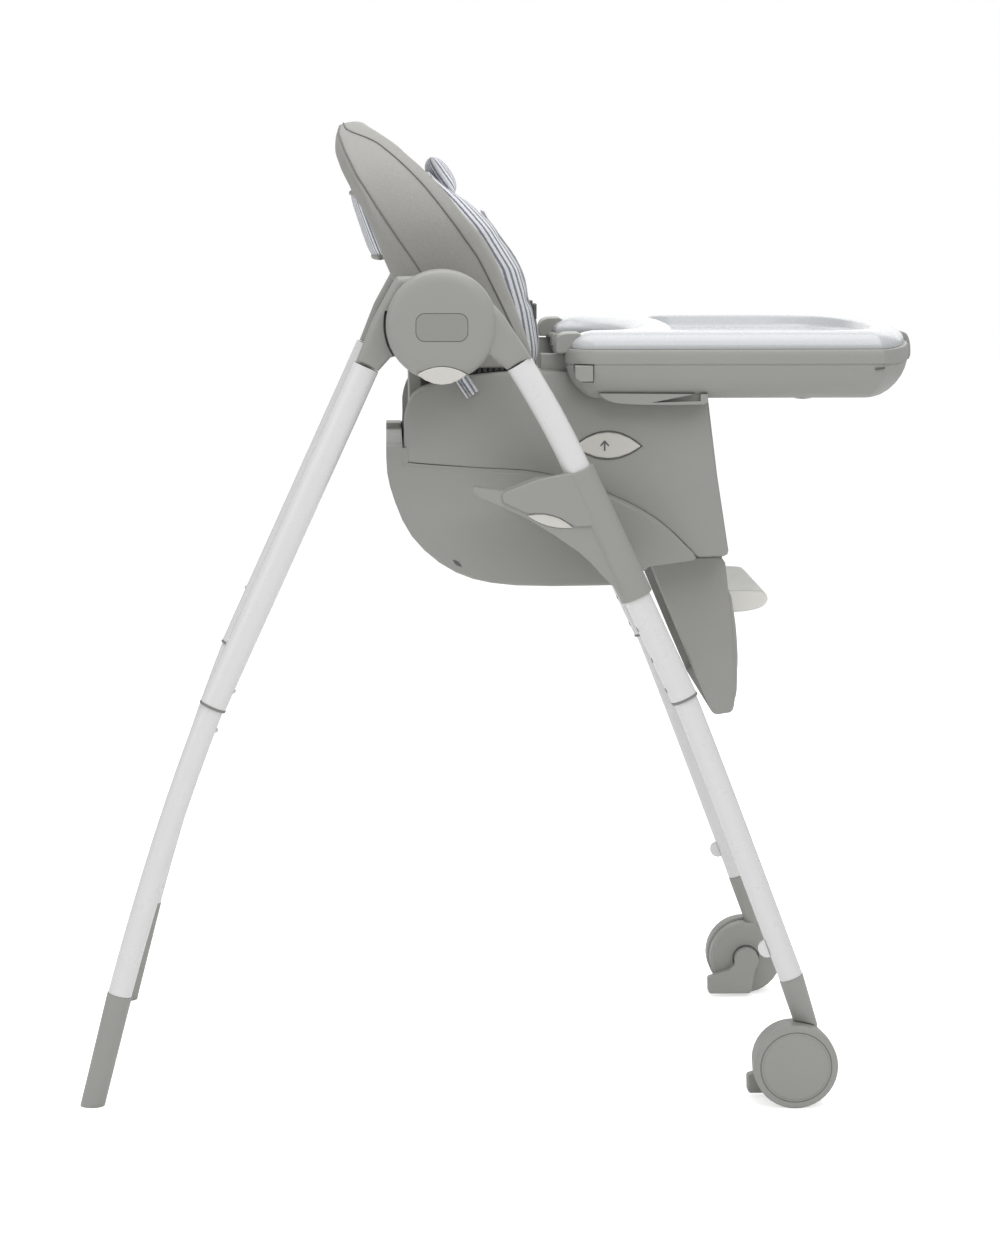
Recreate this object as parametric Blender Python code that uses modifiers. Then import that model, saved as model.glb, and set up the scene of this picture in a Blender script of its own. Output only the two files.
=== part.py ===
"""Folding high chair for a baby: an A-frame on two castors and two feet, a height-adjustable seat,
a reclining back, a sliding tray with a lift-out insert and a hinged calf rest.

Metres, +Z up. The chair faces +X, the floor is Z = 0 and Y = 0 is its plane of symmetry. The chair's
right side is at -Y. Outlines are lists of (x, z) seen from the right, unless a function says otherwise.
"""

import math

import bmesh
import bpy
from mathutils import Matrix, Vector

# ---------------------------------------------------------------- driving dimensions
TOUCH_GAP = 0.0003  # between pieces that rest against each other
RUNNING_GAP = 0.0005  # around a piece that slides or turns in another

HUB_X = -0.067
HUB_Z = 0.8395
HUB_RADIUS = 0.058
HUB_GAP = 0.0008
REAR_DISC_RADIUS = 0.0555
HUB_PIN_RADIUS = 0.008
SOCKET_HALF = 0.0137

UPPER_TUBE_RADIUS = 0.01425
LOWER_TUBE_RADIUS = 0.0128
TUBE_WALL = 0.0012
COLLAR_RADIUS = UPPER_TUBE_RADIUS + 0.0006
COLLAR_LENGTH = 0.0024
FRONT_LEG_Y = 0.262  # from the chair's middle to the front legs
HUB_FACE = FRONT_LEG_Y + 0.020  # half the width across the two hubs
HUB_SPLIT = FRONT_LEG_Y - 0.0149  # where the front housing meets the rear disc
REAR_LEG_Y = HUB_SPLIT - 0.0161
REAR_DISC_INNER = HUB_SPLIT - 0.0321
LEG_LEAN = math.radians(25.2)  # lean of the straight stretch that the seat slides on
FRONT_JOINT = (0.189, 0.4455)
FRONT_TOP = (0.0135, 0.8000)
FRONT_STRAIGHT = 0.285  # length of the straight stretch above the joint
FRONT_END = (0.3057, 0.1430)
FRONT_BEND = (0.2262, 0.3545)  # control point of the lower tube's curve
REAR_TOP = (-0.1455, 0.7960)
REAR_JOINT = (-0.3106, 0.4348)
REAR_END = (-0.4139, 0.1224)
REAR_BEND = (-0.3638, 0.3031)
FOOT_BOTTOM = (-0.4450, 0.0)
FOOT_RADIUS = 0.0134
CROSSBAR_RADIUS = 0.009
REAR_CROSSBAR_RISE = 0.022  # above the rear joint, along the tube
FRONT_CROSSBAR_RISE = 0.016

WHEEL_X = 0.3115
WHEEL_RADIUS = 0.0455
WHEEL_INNER = FRONT_LEG_Y - 0.0125
WHEEL_OUTER = WHEEL_INNER + 0.023
WHEEL_CAP_RADIUS = WHEEL_RADIUS - 0.008
AXLE_RADIUS = 0.004
CASTOR_INNER = WHEEL_INNER - 0.023
CASTOR_RADIUS = WHEEL_RADIUS - 0.002
NECK_RADIUS = 0.0130
BRAKE_INNER = CASTOR_INNER - 0.0145

SLEEVE_START = 0.120  # along the leg, above the front joint
SLEEVE_LENGTH = 0.148
SLEEVE_RADIUS = UPPER_TUBE_RADIUS + 0.00335
WING_INNER = FRONT_LEG_Y - 0.012
WING_OUTER = FRONT_LEG_Y + 0.012

SHELL_HALF = FRONT_LEG_Y - 0.064
SHELL_WALL = 0.0032
SHELL_ROUND = 0.010
ARM_WALL = 0.0040
ARMREST_INNER = SHELL_HALF - 0.033
SEAT_FLOOR = 0.660
SEAT_FLOOR_THICKNESS = 0.004
SEAT_PAD_TOP = 0.704
ARM_TOP = 0.7888

RAIL_REAR = 0.0400
RAIL_FRONT = 0.200
RAIL_TOP = 0.8055
RAIL_Y = (SHELL_HALF - 0.023, SHELL_HALF - 0.008)

TRAY_HALF = SHELL_HALF + 0.042
TRAY_REAR = 0.0643
TRAY_FRONT = 0.4584
TRAY_SHOULDER = 0.398  # where the tray's side ends and its front curve begins
TRAY_TOP = 0.8125
TRAY_BOTTOM = 0.7595
TRAY_WALL = 0.0035
TRAY_BELLY_DEPTH = 0.075
TRAY_BELLY_HALF = SHELL_HALF - 0.048
RELEASE_TOP = TRAY_TOP - TRAY_WALL - RUNNING_GAP
INSERT_HEIGHT = 0.018
INSERT_MARGIN = 0.006
INSERT_RIM = 0.030
INSERT_FLOOR = 0.0035

BACK_PIVOT = (-0.0945, 0.7350)
PIVOT_PIN_RADIUS = 0.0035
PIVOT_PIN_REACH = 0.008
BACK_HALF = SHELL_HALF - 0.010
BACK_LOWER_HALF = ARMREST_INNER - 0.007
BACK_PAD_HALF = BACK_HALF - 0.070
BACK_SHELL_THICKNESS = 0.012
BACK_BOTTOM = 0.700

CALF_HINGE = (0.2320, 0.5725)
CALF_CORNER = 0.0115
CALF_HALF = ARMREST_INNER - 0.015
CALF_WALL = 0.004
CALF_LUG = CALF_HALF - 0.021  # inner face of each lug that the calf rest hangs from
FOOTREST_HALF = CALF_HALF - 0.035

BUTTON_PROUD = 0.0015
BUTTON_DEPTH = 0.020

SIDES = (("right", -1), ("left", 1))

# ---------------------------------------------------------------- colours
COLOURS = {
    "grey_plastic": ((0.35, 0.36, 0.34), 0.45, 0.0),
    "dark_plastic": ((0.12, 0.12, 0.12), 0.5, 0.0),
    "white_tube": ((0.80, 0.80, 0.79), 0.35, 0.0),
    "pale_plastic": ((0.70, 0.69, 0.65), 0.4, 0.0),
    "tray_white": ((0.83, 0.84, 0.85), 0.3, 0.0),
    "footrest_cream": ((0.75, 0.74, 0.68), 0.4, 0.0),
    "leatherette": ((0.36, 0.36, 0.34), 0.6, 0.0),
    "striped_fabric": ((0.75, 0.76, 0.78), 0.9, 0.0),
    "webbing": ((0.55, 0.56, 0.57), 0.9, 0.0),
    "steel": ((0.55, 0.55, 0.56), 0.3, 1.0),
}


def clear_scene():
    for old in list(bpy.data.objects):
        bpy.data.objects.remove(old, do_unlink=True)


def new_collection(name):
    made = bpy.data.collections.new(name)
    bpy.context.scene.collection.children.link(made)
    return made


def new_material(name):
    colour, roughness, metallic = COLOURS[name]
    made = bpy.data.materials.new(name)
    made.use_nodes = True
    shader = made.node_tree.nodes["Principled BSDF"]
    shader.inputs["Base Color"].default_value = (*colour, 1)
    shader.inputs["Roughness"].default_value = roughness
    shader.inputs["Metallic"].default_value = metallic
    return made


clear_scene()
PARTS = new_collection("baby_high_chair")
CUTTERS = new_collection("cutters")
MATERIALS = {name: new_material(name) for name in COLOURS}
BODIES = {}


# ---------------------------------------------------------------- points and outlines
def arc(centre, radius, start, end, count):
    """Points of an arc from one angle to another, in degrees anticlockwise."""
    points = []
    for i in range(count + 1):
        angle = math.radians(start + (end - start) * i / count)
        points.append((centre[0] + radius * math.cos(angle), centre[1] + radius * math.sin(angle)))
    return points


def bend(start, control, end, count):
    """Points of a quadratic curve, both ends included."""
    a, b, c = Vector(start), Vector(control), Vector(end)
    steps = [i / count for i in range(count + 1)]
    return [tuple(a * (1 - t) ** 2 + b * 2 * t * (1 - t) + c * t * t) for t in steps]


def smooth(points, count=3):
    """An open line through the points, rounded as a Catmull-Rom curve."""
    ends = [Vector(p) for p in (points[0], *points, points[-1])]
    line = []
    for p0, p1, p2, p3 in zip(ends, ends[1:], ends[2:], ends[3:]):
        for i in range(count):
            t = i / count
            line.append(
                0.5 * (2 * p1 + (p2 - p0) * t + (2 * p0 - 5 * p1 + 4 * p2 - p3) * t * t
                       + (3 * p1 - p0 - 3 * p2 + p3) * t ** 3)
            )
    return [tuple(p) for p in line] + [tuple(points[-1])]


def offset(line, distance):
    """An open line moved to its left by a distance."""
    moved = []
    for i, point in enumerate(line):
        before = Vector(line[max(i - 1, 0)])
        after = Vector(line[min(i + 1, len(line) - 1)])
        along = (after - before).normalized()
        moved.append((point[0] - along.y * distance, point[1] + along.x * distance))
    return moved


def lens(centre, half_length, rise, drop, tilt=0.0, count=6):
    """A leaf-shaped outline: two shallow curves that meet at pointed ends."""
    turn = Matrix.Rotation(math.radians(tilt), 2)
    points = []
    for i in range(count):
        t = -1 + 2 * i / count
        points.append(turn @ Vector((t * half_length, -drop * (1 - t * t))))
    for i in range(count):
        t = 1 - 2 * i / count
        points.append(turn @ Vector((t * half_length, rise * (1 - t * t))))
    return [(centre[0] + p.x, centre[1] + p.y) for p in points]


def along_leg(distance, aside=0.0):
    """A point on the front leg's straight stretch, above its joint; aside moves it forwards."""
    x = FRONT_JOINT[0] - distance * math.sin(LEG_LEAN) + aside * math.cos(LEG_LEAN)
    z = FRONT_JOINT[1] + distance * math.cos(LEG_LEAN) + aside * math.sin(LEG_LEAN)
    return (x, z)


# ---------------------------------------------------------------- objects
def body(name, location=(0, 0, 0)):
    """The empty at a moving group's joint, which its pieces are parented to."""
    empty = bpy.data.objects.new(name + "_axis", None)
    empty.location = location
    empty.empty_display_size = 0.03
    PARTS.objects.link(empty)
    BODIES[name] = empty


def place(obj, group):
    """Parents an object, whose place is in its mesh or matrix, to its group's empty."""
    if group:
        obj.parent = BODIES[group]
        obj.matrix_parent_inverse = Matrix.Translation(-BODIES[group].location)
    return obj


def add(name, mesh, material, group=None, smooth_angle=35):
    mesh.name = name
    mesh.materials.clear()
    mesh.materials.append(MATERIALS[material])
    mesh.shade_smooth()
    mesh.set_sharp_from_angle(angle=math.radians(smooth_angle))
    obj = bpy.data.objects.new(name, mesh)
    PARTS.objects.link(obj)
    return place(obj, group)


def add_cutter(name, mesh):
    mesh.name = name
    obj = bpy.data.objects.new(name, mesh)
    obj.hide_render = True
    obj.display_type = "WIRE"
    CUTTERS.objects.link(obj)
    return obj


def combine(obj, other, operation="DIFFERENCE"):
    """Cuts a mesh from an object, or joins one to it."""
    tool = add_cutter(f"{obj.name}_{operation.lower()}_{len(obj.modifiers)}", other)
    modifier = obj.modifiers.new(tool.name, "BOOLEAN")
    modifier.operation = operation
    modifier.object = tool
    return obj


def round_edges(obj, width, segments=2, angle=40):
    modifier = obj.modifiers.new("rounded", "BEVEL")
    modifier.width = width
    modifier.segments = segments
    modifier.limit_method = "ANGLE"
    modifier.angle_limit = math.radians(angle)
    return obj


def mesh_of(bm):
    mesh = bpy.data.meshes.new("shape")
    bm.to_mesh(mesh)
    bm.free()
    return mesh


def slab(points, low, high, plane="XZ"):
    """An outline filled and given thickness: XZ seen from the right, YZ from the front, XY from above."""
    curve = bpy.data.curves.new("outline", "CURVE")
    curve.dimensions = "2D"
    curve.fill_mode = "BOTH"
    curve.extrude = (high - low) / 2
    spline = curve.splines.new("POLY")
    spline.points.add(len(points) - 1)
    for corner, point in zip(spline.points, points):
        corner.co = (*point, 0, 1)
    spline.use_cyclic_u = True
    guide = bpy.data.objects.new("outline", curve)
    bpy.context.scene.collection.objects.link(guide)
    graph = bpy.context.evaluated_depsgraph_get()
    bm = bmesh.new()
    bm.from_mesh(bpy.data.meshes.new_from_object(guide.evaluated_get(graph)))
    bpy.data.objects.remove(guide, do_unlink=True)
    bmesh.ops.remove_doubles(bm, verts=bm.verts, dist=0.00001)
    bmesh.ops.dissolve_limit(bm, angle_limit=0.001, verts=bm.verts, edges=bm.edges)
    middle = (low + high) / 2
    turns = {
        "XZ": Matrix.Translation((0, middle, 0)) @ Matrix.Rotation(math.pi / 2, 4, "X"),
        "YZ": Matrix(((0, 0, 1, middle), (1, 0, 0, 0), (0, 1, 0, 0), (0, 0, 0, 1))),
        "XY": Matrix.Translation((0, 0, middle)),
    }
    bmesh.ops.transform(bm, matrix=turns[plane], verts=bm.verts)
    bmesh.ops.recalc_face_normals(bm, faces=bm.faces)
    return mesh_of(bm)


def side_slab(points, sign, inner, outer):
    """An XZ slab on one side of the chair, between two distances from its middle."""
    return slab(points, min(sign * inner, sign * outer), max(sign * inner, sign * outer))


def block(low, high):
    bm = bmesh.new()
    bmesh.ops.create_cube(bm, size=1)
    size = [b - a for a, b in zip(low, high)]
    middle = [(a + b) / 2 for a, b in zip(low, high)]
    bmesh.ops.transform(
        bm, matrix=Matrix.Translation(middle) @ Matrix.Diagonal((*size, 1)), verts=bm.verts
    )
    return mesh_of(bm)


def rod(start, end, radius, end_radius=None, segments=24):
    """A round bar, or a cone, between two points in space."""
    a, b = Vector(start), Vector(end)
    bm = bmesh.new()
    bmesh.ops.create_cone(
        bm, cap_ends=True, segments=segments, radius1=radius,
        radius2=radius if end_radius is None else end_radius, depth=(b - a).length,
    )
    turn = (b - a).to_track_quat("Z", "Y").to_matrix().to_4x4()
    bmesh.ops.transform(bm, matrix=Matrix.Translation((a + b) / 2) @ turn, verts=bm.verts)
    return mesh_of(bm)


def leg_tube(name, line, y, radius, group=None, bevel_resolution=6):
    """A bent hollow tube that follows a line of (x, z) at one distance from the chair's middle."""
    curve = bpy.data.curves.new(name, "CURVE")
    curve.dimensions = "3D"
    curve.bevel_depth = radius
    curve.bevel_resolution = bevel_resolution
    spline = curve.splines.new("POLY")
    spline.points.add(len(line) - 1)
    for corner, (x, z) in zip(spline.points, line):
        corner.co = (x, y, z, 1)
    curve.materials.append(MATERIALS["white_tube"])
    obj = bpy.data.objects.new(name, curve)
    PARTS.objects.link(obj)
    wall = obj.modifiers.new("wall", "SOLIDIFY")
    wall.thickness = TUBE_WALL
    wall.offset = -1
    return place(obj, group)


def turned(name, profile, location, sign, material, group=None, steps=48):
    """A turned piece whose axis points out of one side; its profile is (radius, outwards)."""
    bm = bmesh.new()
    corners = [bm.verts.new((r, 0, out)) for r, out in profile]
    for a, b in zip(corners, corners[1:]):
        bm.edges.new((a, b))
    mesh = mesh_of(bm)
    mesh.materials.append(MATERIALS[material])
    obj = bpy.data.objects.new(name, mesh)
    obj.location = location
    obj.rotation_euler = (-sign * math.pi / 2, 0, 0)
    PARTS.objects.link(obj)
    screw = obj.modifiers.new("turned", "SCREW")
    screw.steps = steps
    screw.render_steps = steps
    screw.use_merge_vertices = True
    screw.merge_threshold = 0.0001
    screw.use_smooth_shade = True
    return place(obj, group)


# ---------------------------------------------------------------- front frame
def front_top_direction():
    """The way the front tube points where it enters the hub's socket."""
    return (Vector(FRONT_TOP) - Vector(along_leg(FRONT_STRAIGHT + 0.045))).normalized()


def hub_outline():
    """The disc, with a socket whose mouth is square to the front tube."""
    mouth = Vector(FRONT_TOP)
    across = Vector((front_top_direction().y, -front_top_direction().x)) * SOCKET_HALF
    return arc((HUB_X, HUB_Z), HUB_RADIUS, 22, 328, 40) + [tuple(mouth - across), tuple(mouth + across)]


def fold_button_outline(gap=0.0):
    return lens((HUB_X, HUB_Z - HUB_RADIUS + 0.008), 0.026 + gap, 0.008 + gap, 0.0105 + gap)


def badge_outline(gap=0.0):
    """A rounded rectangle on the hub's face."""
    half_width, half_height, corner = 0.027 + gap, 0.0145 + gap, 0.006
    points = []
    for quarter, (sx, sz) in enumerate(((1, 1), (-1, 1), (-1, -1), (1, -1))):
        centre = (HUB_X + sx * (half_width - corner), HUB_Z - 0.0015 + sz * (half_height - corner))
        points += arc(centre, corner, 90 * quarter, 90 * quarter + 90, 3)
    return points


def hub(side, sign):
    housing = add(
        f"hub_housing_{side}", side_slab(hub_outline(), sign, HUB_SPLIT + HUB_GAP / 2, HUB_FACE),
        "grey_plastic"
    )
    round_edges(housing, 0.004, 2)
    pocket = HUB_FACE - BUTTON_DEPTH - RUNNING_GAP
    button_hole = fold_button_outline(RUNNING_GAP)
    combine(housing, side_slab(button_hole, sign, pocket - 0.0035, HUB_FACE + 0.01))
    combine(housing, side_slab(badge_outline(TOUCH_GAP), sign, HUB_FACE - 0.0015, HUB_FACE + 0.01))
    pin_hole = rod(
        (HUB_X, sign * (HUB_SPLIT - 0.01), HUB_Z), (HUB_X, sign * (HUB_SPLIT + 0.012), HUB_Z),
        HUB_PIN_RADIUS + TOUCH_GAP
    )
    combine(housing, pin_hole)
    badge = add(
        f"hub_badge_{side}",
        side_slab(badge_outline(), sign, HUB_FACE - 0.0015 + TOUCH_GAP, HUB_FACE + 0.0008),
        "grey_plastic"
    )
    round_edges(badge, 0.0003, 1)
    pin_ends = (REAR_DISC_INNER - 0.003, HUB_SPLIT + 0.012 - TOUCH_GAP)
    add(
        f"hub_pivot_{side}", rod(*[(HUB_X, sign * y, HUB_Z) for y in pin_ends], HUB_PIN_RADIUS), "steel"
    )


def fold_button(side, sign):
    group = f"fold_button_{side}"
    body(group, (HUB_X, sign * HUB_FACE, HUB_Z - HUB_RADIUS + 0.008))
    mesh = side_slab(fold_button_outline(), sign, HUB_FACE - BUTTON_DEPTH, HUB_FACE + BUTTON_PROUD)
    round_edges(add(group, mesh, "pale_plastic", group), 0.001, 1)


def front_leg(side, sign):
    straight_top = along_leg(FRONT_STRAIGHT)
    control = along_leg(FRONT_STRAIGHT + 0.045)
    top = Vector(FRONT_TOP) - front_top_direction() * TOUCH_GAP
    curve = bend(top - front_top_direction() * 0.004, control, straight_top, 6)
    upper = [tuple(top)] + curve + [along_leg(COLLAR_LENGTH / 2 + TOUCH_GAP)]
    leg_tube(f"front_upper_tube_{side}", upper, sign * FRONT_LEG_Y, UPPER_TUBE_RADIUS)
    lower = [along_leg(-COLLAR_LENGTH / 2 - TOUCH_GAP)]
    lower += bend(along_leg(-COLLAR_LENGTH / 2 - 0.006), FRONT_BEND, FRONT_END, 8)
    leg_tube(f"front_lower_tube_{side}", lower, sign * FRONT_LEG_Y, LOWER_TUBE_RADIUS)
    ends = [
        (x, sign * FRONT_LEG_Y, z) for x,
        z in (along_leg(COLLAR_LENGTH / 2), along_leg(-COLLAR_LENGTH / 2))
    ]
    add(f"front_collar_{side}", rod(*ends, COLLAR_RADIUS), "dark_plastic")


def front_crossbar():
    x, z = along_leg(FRONT_CROSSBAR_RISE)
    reach = FRONT_LEG_Y - UPPER_TUBE_RADIUS - TOUCH_GAP
    bar = add(
        "front_crossbar", rod((x, -reach, z), (x, reach, z), CROSSBAR_RADIUS, segments=20), "white_tube"
    )
    for sign in (-1, 1):
        hollow = rod(
            (*along_leg(-0.03)[:1], sign * FRONT_LEG_Y, along_leg(-0.03)[1]),
            (*along_leg(0.08)[:1], sign * FRONT_LEG_Y, along_leg(0.08)[1]),
            UPPER_TUBE_RADIUS + TOUCH_GAP,
        )
        combine(bar, hollow)


def castor(side, sign):
    centre = (WHEEL_X, WHEEL_RADIUS)
    housing_outer = WHEEL_INNER - 0.001
    disc = side_slab(arc(centre, CASTOR_RADIUS, 0, 350, 35), sign, CASTOR_INNER, housing_outer)
    housing = add(f"castor_housing_{side}", disc, "grey_plastic")
    round_edges(housing, 0.003, 1)
    lean = (Vector(FRONT_END) - Vector(FRONT_BEND)).normalized()
    top = Vector(FRONT_END) + lean * TOUCH_GAP
    foot = Vector((WHEEL_X + 0.0150, sign * (WHEEL_INNER - 0.011), WHEEL_RADIUS + 0.0365))
    head = Vector((top.x, sign * FRONT_LEG_Y, top.y))
    neck = rod(head + (head - foot) * 0.12, foot, NECK_RADIUS + 0.0003, 0.0118, segments=24)
    combine(housing, neck, "UNION")
    above = top - lean * 0.05
    combine(housing, rod(head, (above.x, sign * FRONT_LEG_Y, above.y), 0.03))
    arch = rod(
        (WHEEL_X, sign * (housing_outer - TOUCH_GAP), WHEEL_RADIUS),
        (WHEEL_X, sign * (WHEEL_OUTER + 0.0275), WHEEL_RADIUS), WHEEL_RADIUS + 0.0015, segments=36
    )
    combine(housing, arch)
    pocket = rod(
        (WHEEL_X, sign * (CASTOR_INNER - 0.0265), WHEEL_RADIUS),
        (WHEEL_X, sign * (CASTOR_INNER + 0.004), WHEEL_RADIUS), 0.0165
    )
    combine(housing, pocket)
    add(f"wheel_axle_{side}", rod((WHEEL_X, sign * (housing_outer + TOUCH_GAP), WHEEL_RADIUS),
        (WHEEL_X, sign * (WHEEL_OUTER - 0.006), WHEEL_RADIUS), AXLE_RADIUS), "steel")


def castor_bracket(side, sign):
    """The latch bracket behind the foot of the front tube, with its short strap down to the castor."""
    outline = arc((0.2795, 0.1745), 0.0095, 60, 330, 10) + [
        (0.2960, 0.1585), (0.2980, 0.1760)]
    plate = side_slab(outline, sign, FRONT_LEG_Y - 0.003, FRONT_LEG_Y + 0.003)
    bracket = add(f"castor_bracket_{side}", plate, "white_tube")
    lean = (Vector(FRONT_END) - Vector(FRONT_BEND)).normalized()
    low, high = Vector(FRONT_END) + lean * 0.02, Vector(FRONT_END) - lean * 0.08
    ends = [(p.x, sign * FRONT_LEG_Y, p.y) for p in (low, high)]
    combine(bracket, rod(*ends, LOWER_TUBE_RADIUS + 2 * TOUCH_GAP, segments=32))


def wheel(side, sign):
    group = f"wheel_{side}"
    body(group, (WHEEL_X, sign * WHEEL_INNER, WHEEL_RADIUS))
    width = WHEEL_OUTER - WHEEL_INNER
    groove = WHEEL_CAP_RADIUS
    bore = AXLE_RADIUS + RUNNING_GAP
    profile = [
        (0, width - 0.0004), (groove, width - 0.0004), (
            groove + 0.0006, width - 0.0016
        ), (groove + 0.0014, width - 0.0004),
        (
            WHEEL_RADIUS - 0.0020, width
        ), (WHEEL_RADIUS, width - 0.0030), (WHEEL_RADIUS, 0.0015), (WHEEL_RADIUS - 0.0015, 0),
        (bore, 0), (bore, width - 0.005), (0, width - 0.005),
    ]
    turned(group, profile, BODIES[group].location, sign, "grey_plastic", group, steps=40)


def brake(side, sign):
    """A pedal that turns about the axle in the castor's inner face and presses on the wheel."""
    group = f"brake_pedal_{side}"
    body(group, (WHEEL_X, sign * CASTOR_INNER, WHEEL_RADIUS))
    outline = [
        (
            WHEEL_X - 0.0475, 0.0245
        ), (WHEEL_X - 0.0470, 0.0065), (WHEEL_X - 0.0440, 0.0045), (WHEEL_X + 0.0030, 0.0045),
        (WHEEL_X + 0.0060, 0.0065), (WHEEL_X + 0.0105, 0.0340),
    ] + arc((WHEEL_X, WHEEL_RADIUS), 0.0150, -40, 200, 9) + [(WHEEL_X - 0.0220, 0.0330)]
    pedal = add(
        group, side_slab(outline, sign, BRAKE_INNER, CASTOR_INNER - RUNNING_GAP), "grey_plastic", group
    )
    round_edges(pedal, 0.0015, 1)


# ---------------------------------------------------------------- rear frame
def rear_disc_outline():
    socket_front, socket_rear = (-0.1328, 0.7912), (-0.1580, 0.8027)
    return arc(
        (HUB_X, HUB_Z), REAR_DISC_RADIUS, -132, 158, 32
    ) + [(-0.1365, 0.8560), socket_rear, socket_front]


def rear_leg(side, sign):
    group = "rear_frame"
    disc = side_slab(rear_disc_outline(), sign, REAR_DISC_INNER, HUB_SPLIT - HUB_GAP / 2)
    disc = add(f"rear_hub_disc_{side}", disc, "grey_plastic", group)
    round_edges(disc, 0.003, 1)
    pin_hole = rod(
        (HUB_X, sign * (REAR_DISC_INNER - 0.035), HUB_Z), (HUB_X, sign * (HUB_FACE + 0.018), HUB_Z),
        HUB_PIN_RADIUS + RUNNING_GAP
    )
    combine(disc, pin_hole)
    slope = (Vector(REAR_JOINT) - Vector(REAR_TOP)).normalized()
    top = Vector(REAR_TOP) + slope * 0.0010
    upper_end = Vector(REAR_JOINT) - slope * (COLLAR_LENGTH / 2 + TOUCH_GAP)
    leg_tube(
        f"rear_upper_tube_{side}", [tuple(top), tuple(upper_end)], sign * REAR_LEG_Y, UPPER_TUBE_RADIUS,
        group
    )
    collar_ends = [Vector(REAR_JOINT) + slope * s * COLLAR_LENGTH / 2 for s in (-1, 1)]
    collar = rod(*[(p.x, sign * REAR_LEG_Y, p.y) for p in collar_ends], COLLAR_RADIUS)
    add(f"rear_collar_{side}", collar, "dark_plastic", group)
    lower_start = Vector(REAR_JOINT) + slope * (COLLAR_LENGTH / 2 + TOUCH_GAP)
    foot_slope = (Vector(FOOT_BOTTOM) - Vector(REAR_END)).normalized()
    curve = bend(lower_start + slope * 0.004, REAR_BEND, Vector(REAR_END) - foot_slope * 0.004, 8)
    lower = [tuple(lower_start)] + curve + [REAR_END]
    leg_tube(f"rear_lower_tube_{side}", lower, sign * REAR_LEG_Y, LOWER_TUBE_RADIUS, group)
    foot_top = Vector(REAR_END) + foot_slope * TOUCH_GAP
    below = Vector(FOOT_BOTTOM) + foot_slope * 0.012
    boot = rod(
        (foot_top.x, sign * REAR_LEG_Y, foot_top.y), (below.x, sign * REAR_LEG_Y, below.y), FOOT_RADIUS,
        0.0128, segments=32
    )
    foot = add(f"rear_foot_{side}", boot, "grey_plastic", group)
    combine(foot, block((-0.6, -0.4, -0.1), (-0.3, 0.4, 0.0)))


def rear_crossbar():
    slope = (Vector(REAR_TOP) - Vector(REAR_JOINT)).normalized()
    centre = Vector(REAR_JOINT) + slope * REAR_CROSSBAR_RISE
    reach = REAR_LEG_Y - UPPER_TUBE_RADIUS + 0.004
    ends = [(centre.x, s * reach, centre.y) for s in (-1, 1)]
    bar = add("rear_crossbar", rod(*ends, CROSSBAR_RADIUS, segments=20), "white_tube", "rear_frame")
    for sign in (-1, 1):
        low, high = Vector(REAR_JOINT) - slope * 0.02, Vector(REAR_JOINT) + slope * 0.08
        hollow = rod(
            (low.x, sign * REAR_LEG_Y, low.y), (high.x, sign * REAR_LEG_Y, high.y),
            UPPER_TUBE_RADIUS + TOUCH_GAP
        )
        combine(bar, hollow)


# ---------------------------------------------------------------- seat
def seam_line():
    """The joint between the lower and the upper shell, from the rear to the front."""
    return smooth(
        [
            (-0.1070, 0.6895), (-0.0308, 0.6831), (0.0396, 0.6776), (0.1123, 0.6549), (0.1649, 0.6268),
            (0.2060, 0.5885)
        ],
        3
    )


def belly_line():
    """The lower shell's underside, from its rear edge to the foot of the calf rest."""
    return smooth(
        [
            (-0.1252, 0.6994), (-0.1213, 0.6652), (-0.0981, 0.6116), (-0.0512, 0.5728),
            (0.0130, 0.5585), (0.1300, 0.5585)
        ],
        3
    )


def lower_outline():
    lip = [(0.1560, 0.5780), (0.2060, 0.5850)]
    seam = list(reversed(seam_line()))
    flange = [(-0.1085, 0.7366), (-0.1140, 0.7390), (-0.1252, 0.7292)]
    return belly_line() + lip + seam + flange


def upper_outline():
    front = [(0.2100, 0.5880), (0.2425, 0.5890), (0.2287, 0.6759), (0.2141, ARM_TOP)]
    rear = smooth(
        [(0.0352, ARM_TOP), (-0.0300, 0.7840), (-0.0880, 0.7700), (-0.1045, 0.7450), (-0.1060, 0.7200)],
        3
    )
    return [(x, z + 2 * TOUCH_GAP) for x, z in seam_line()] + front + rear


def lower_shell():
    shell = add(
        "seat_lower_shell", slab(lower_outline(), -SHELL_HALF, SHELL_HALF), "grey_plastic", "seat"
    )
    round_edges(shell, SHELL_ROUND, 3, 50)
    inner = offset(belly_line(), SHELL_WALL)
    inner = [p for p in inner if p[0] < 0.13] + [
        (0.1500, 0.5785), (0.1950, 0.5885), (0.1950, 0.80), (-0.1035, 0.80), (-0.1060, 0.6994)
    ]
    half = SHELL_HALF - SHELL_ROUND / 2
    combine(shell, slab(inner, -half, half))
    dip_half = SHELL_HALF - 0.043
    combine(shell, block((-0.16, -dip_half, 0.7010), (-0.08, dip_half, 0.80)))


def cross_pin(point, sign, inner, outer, gap=0.0):
    """A pin across the chair, or with a gap the bore that it turns in."""
    ends = [(point[0], sign * y, point[1]) for y in (inner - gap, outer + gap)]
    return rod(*ends, PIVOT_PIN_RADIUS + gap, segments=16)


def calf_lug_outline():
    x, z = CALF_HINGE
    return arc(CALF_HINGE, CALF_CORNER - 0.0025, -180, 0, 8) + [
        (x + 0.008, z + 0.020), (x - 0.009, z + 0.020)
    ]


def release_outline(gap=0.0):
    return lens((0.1110, 0.7080), 0.0355 + gap, 0.0150 + gap, 0.0130 + gap)


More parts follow.
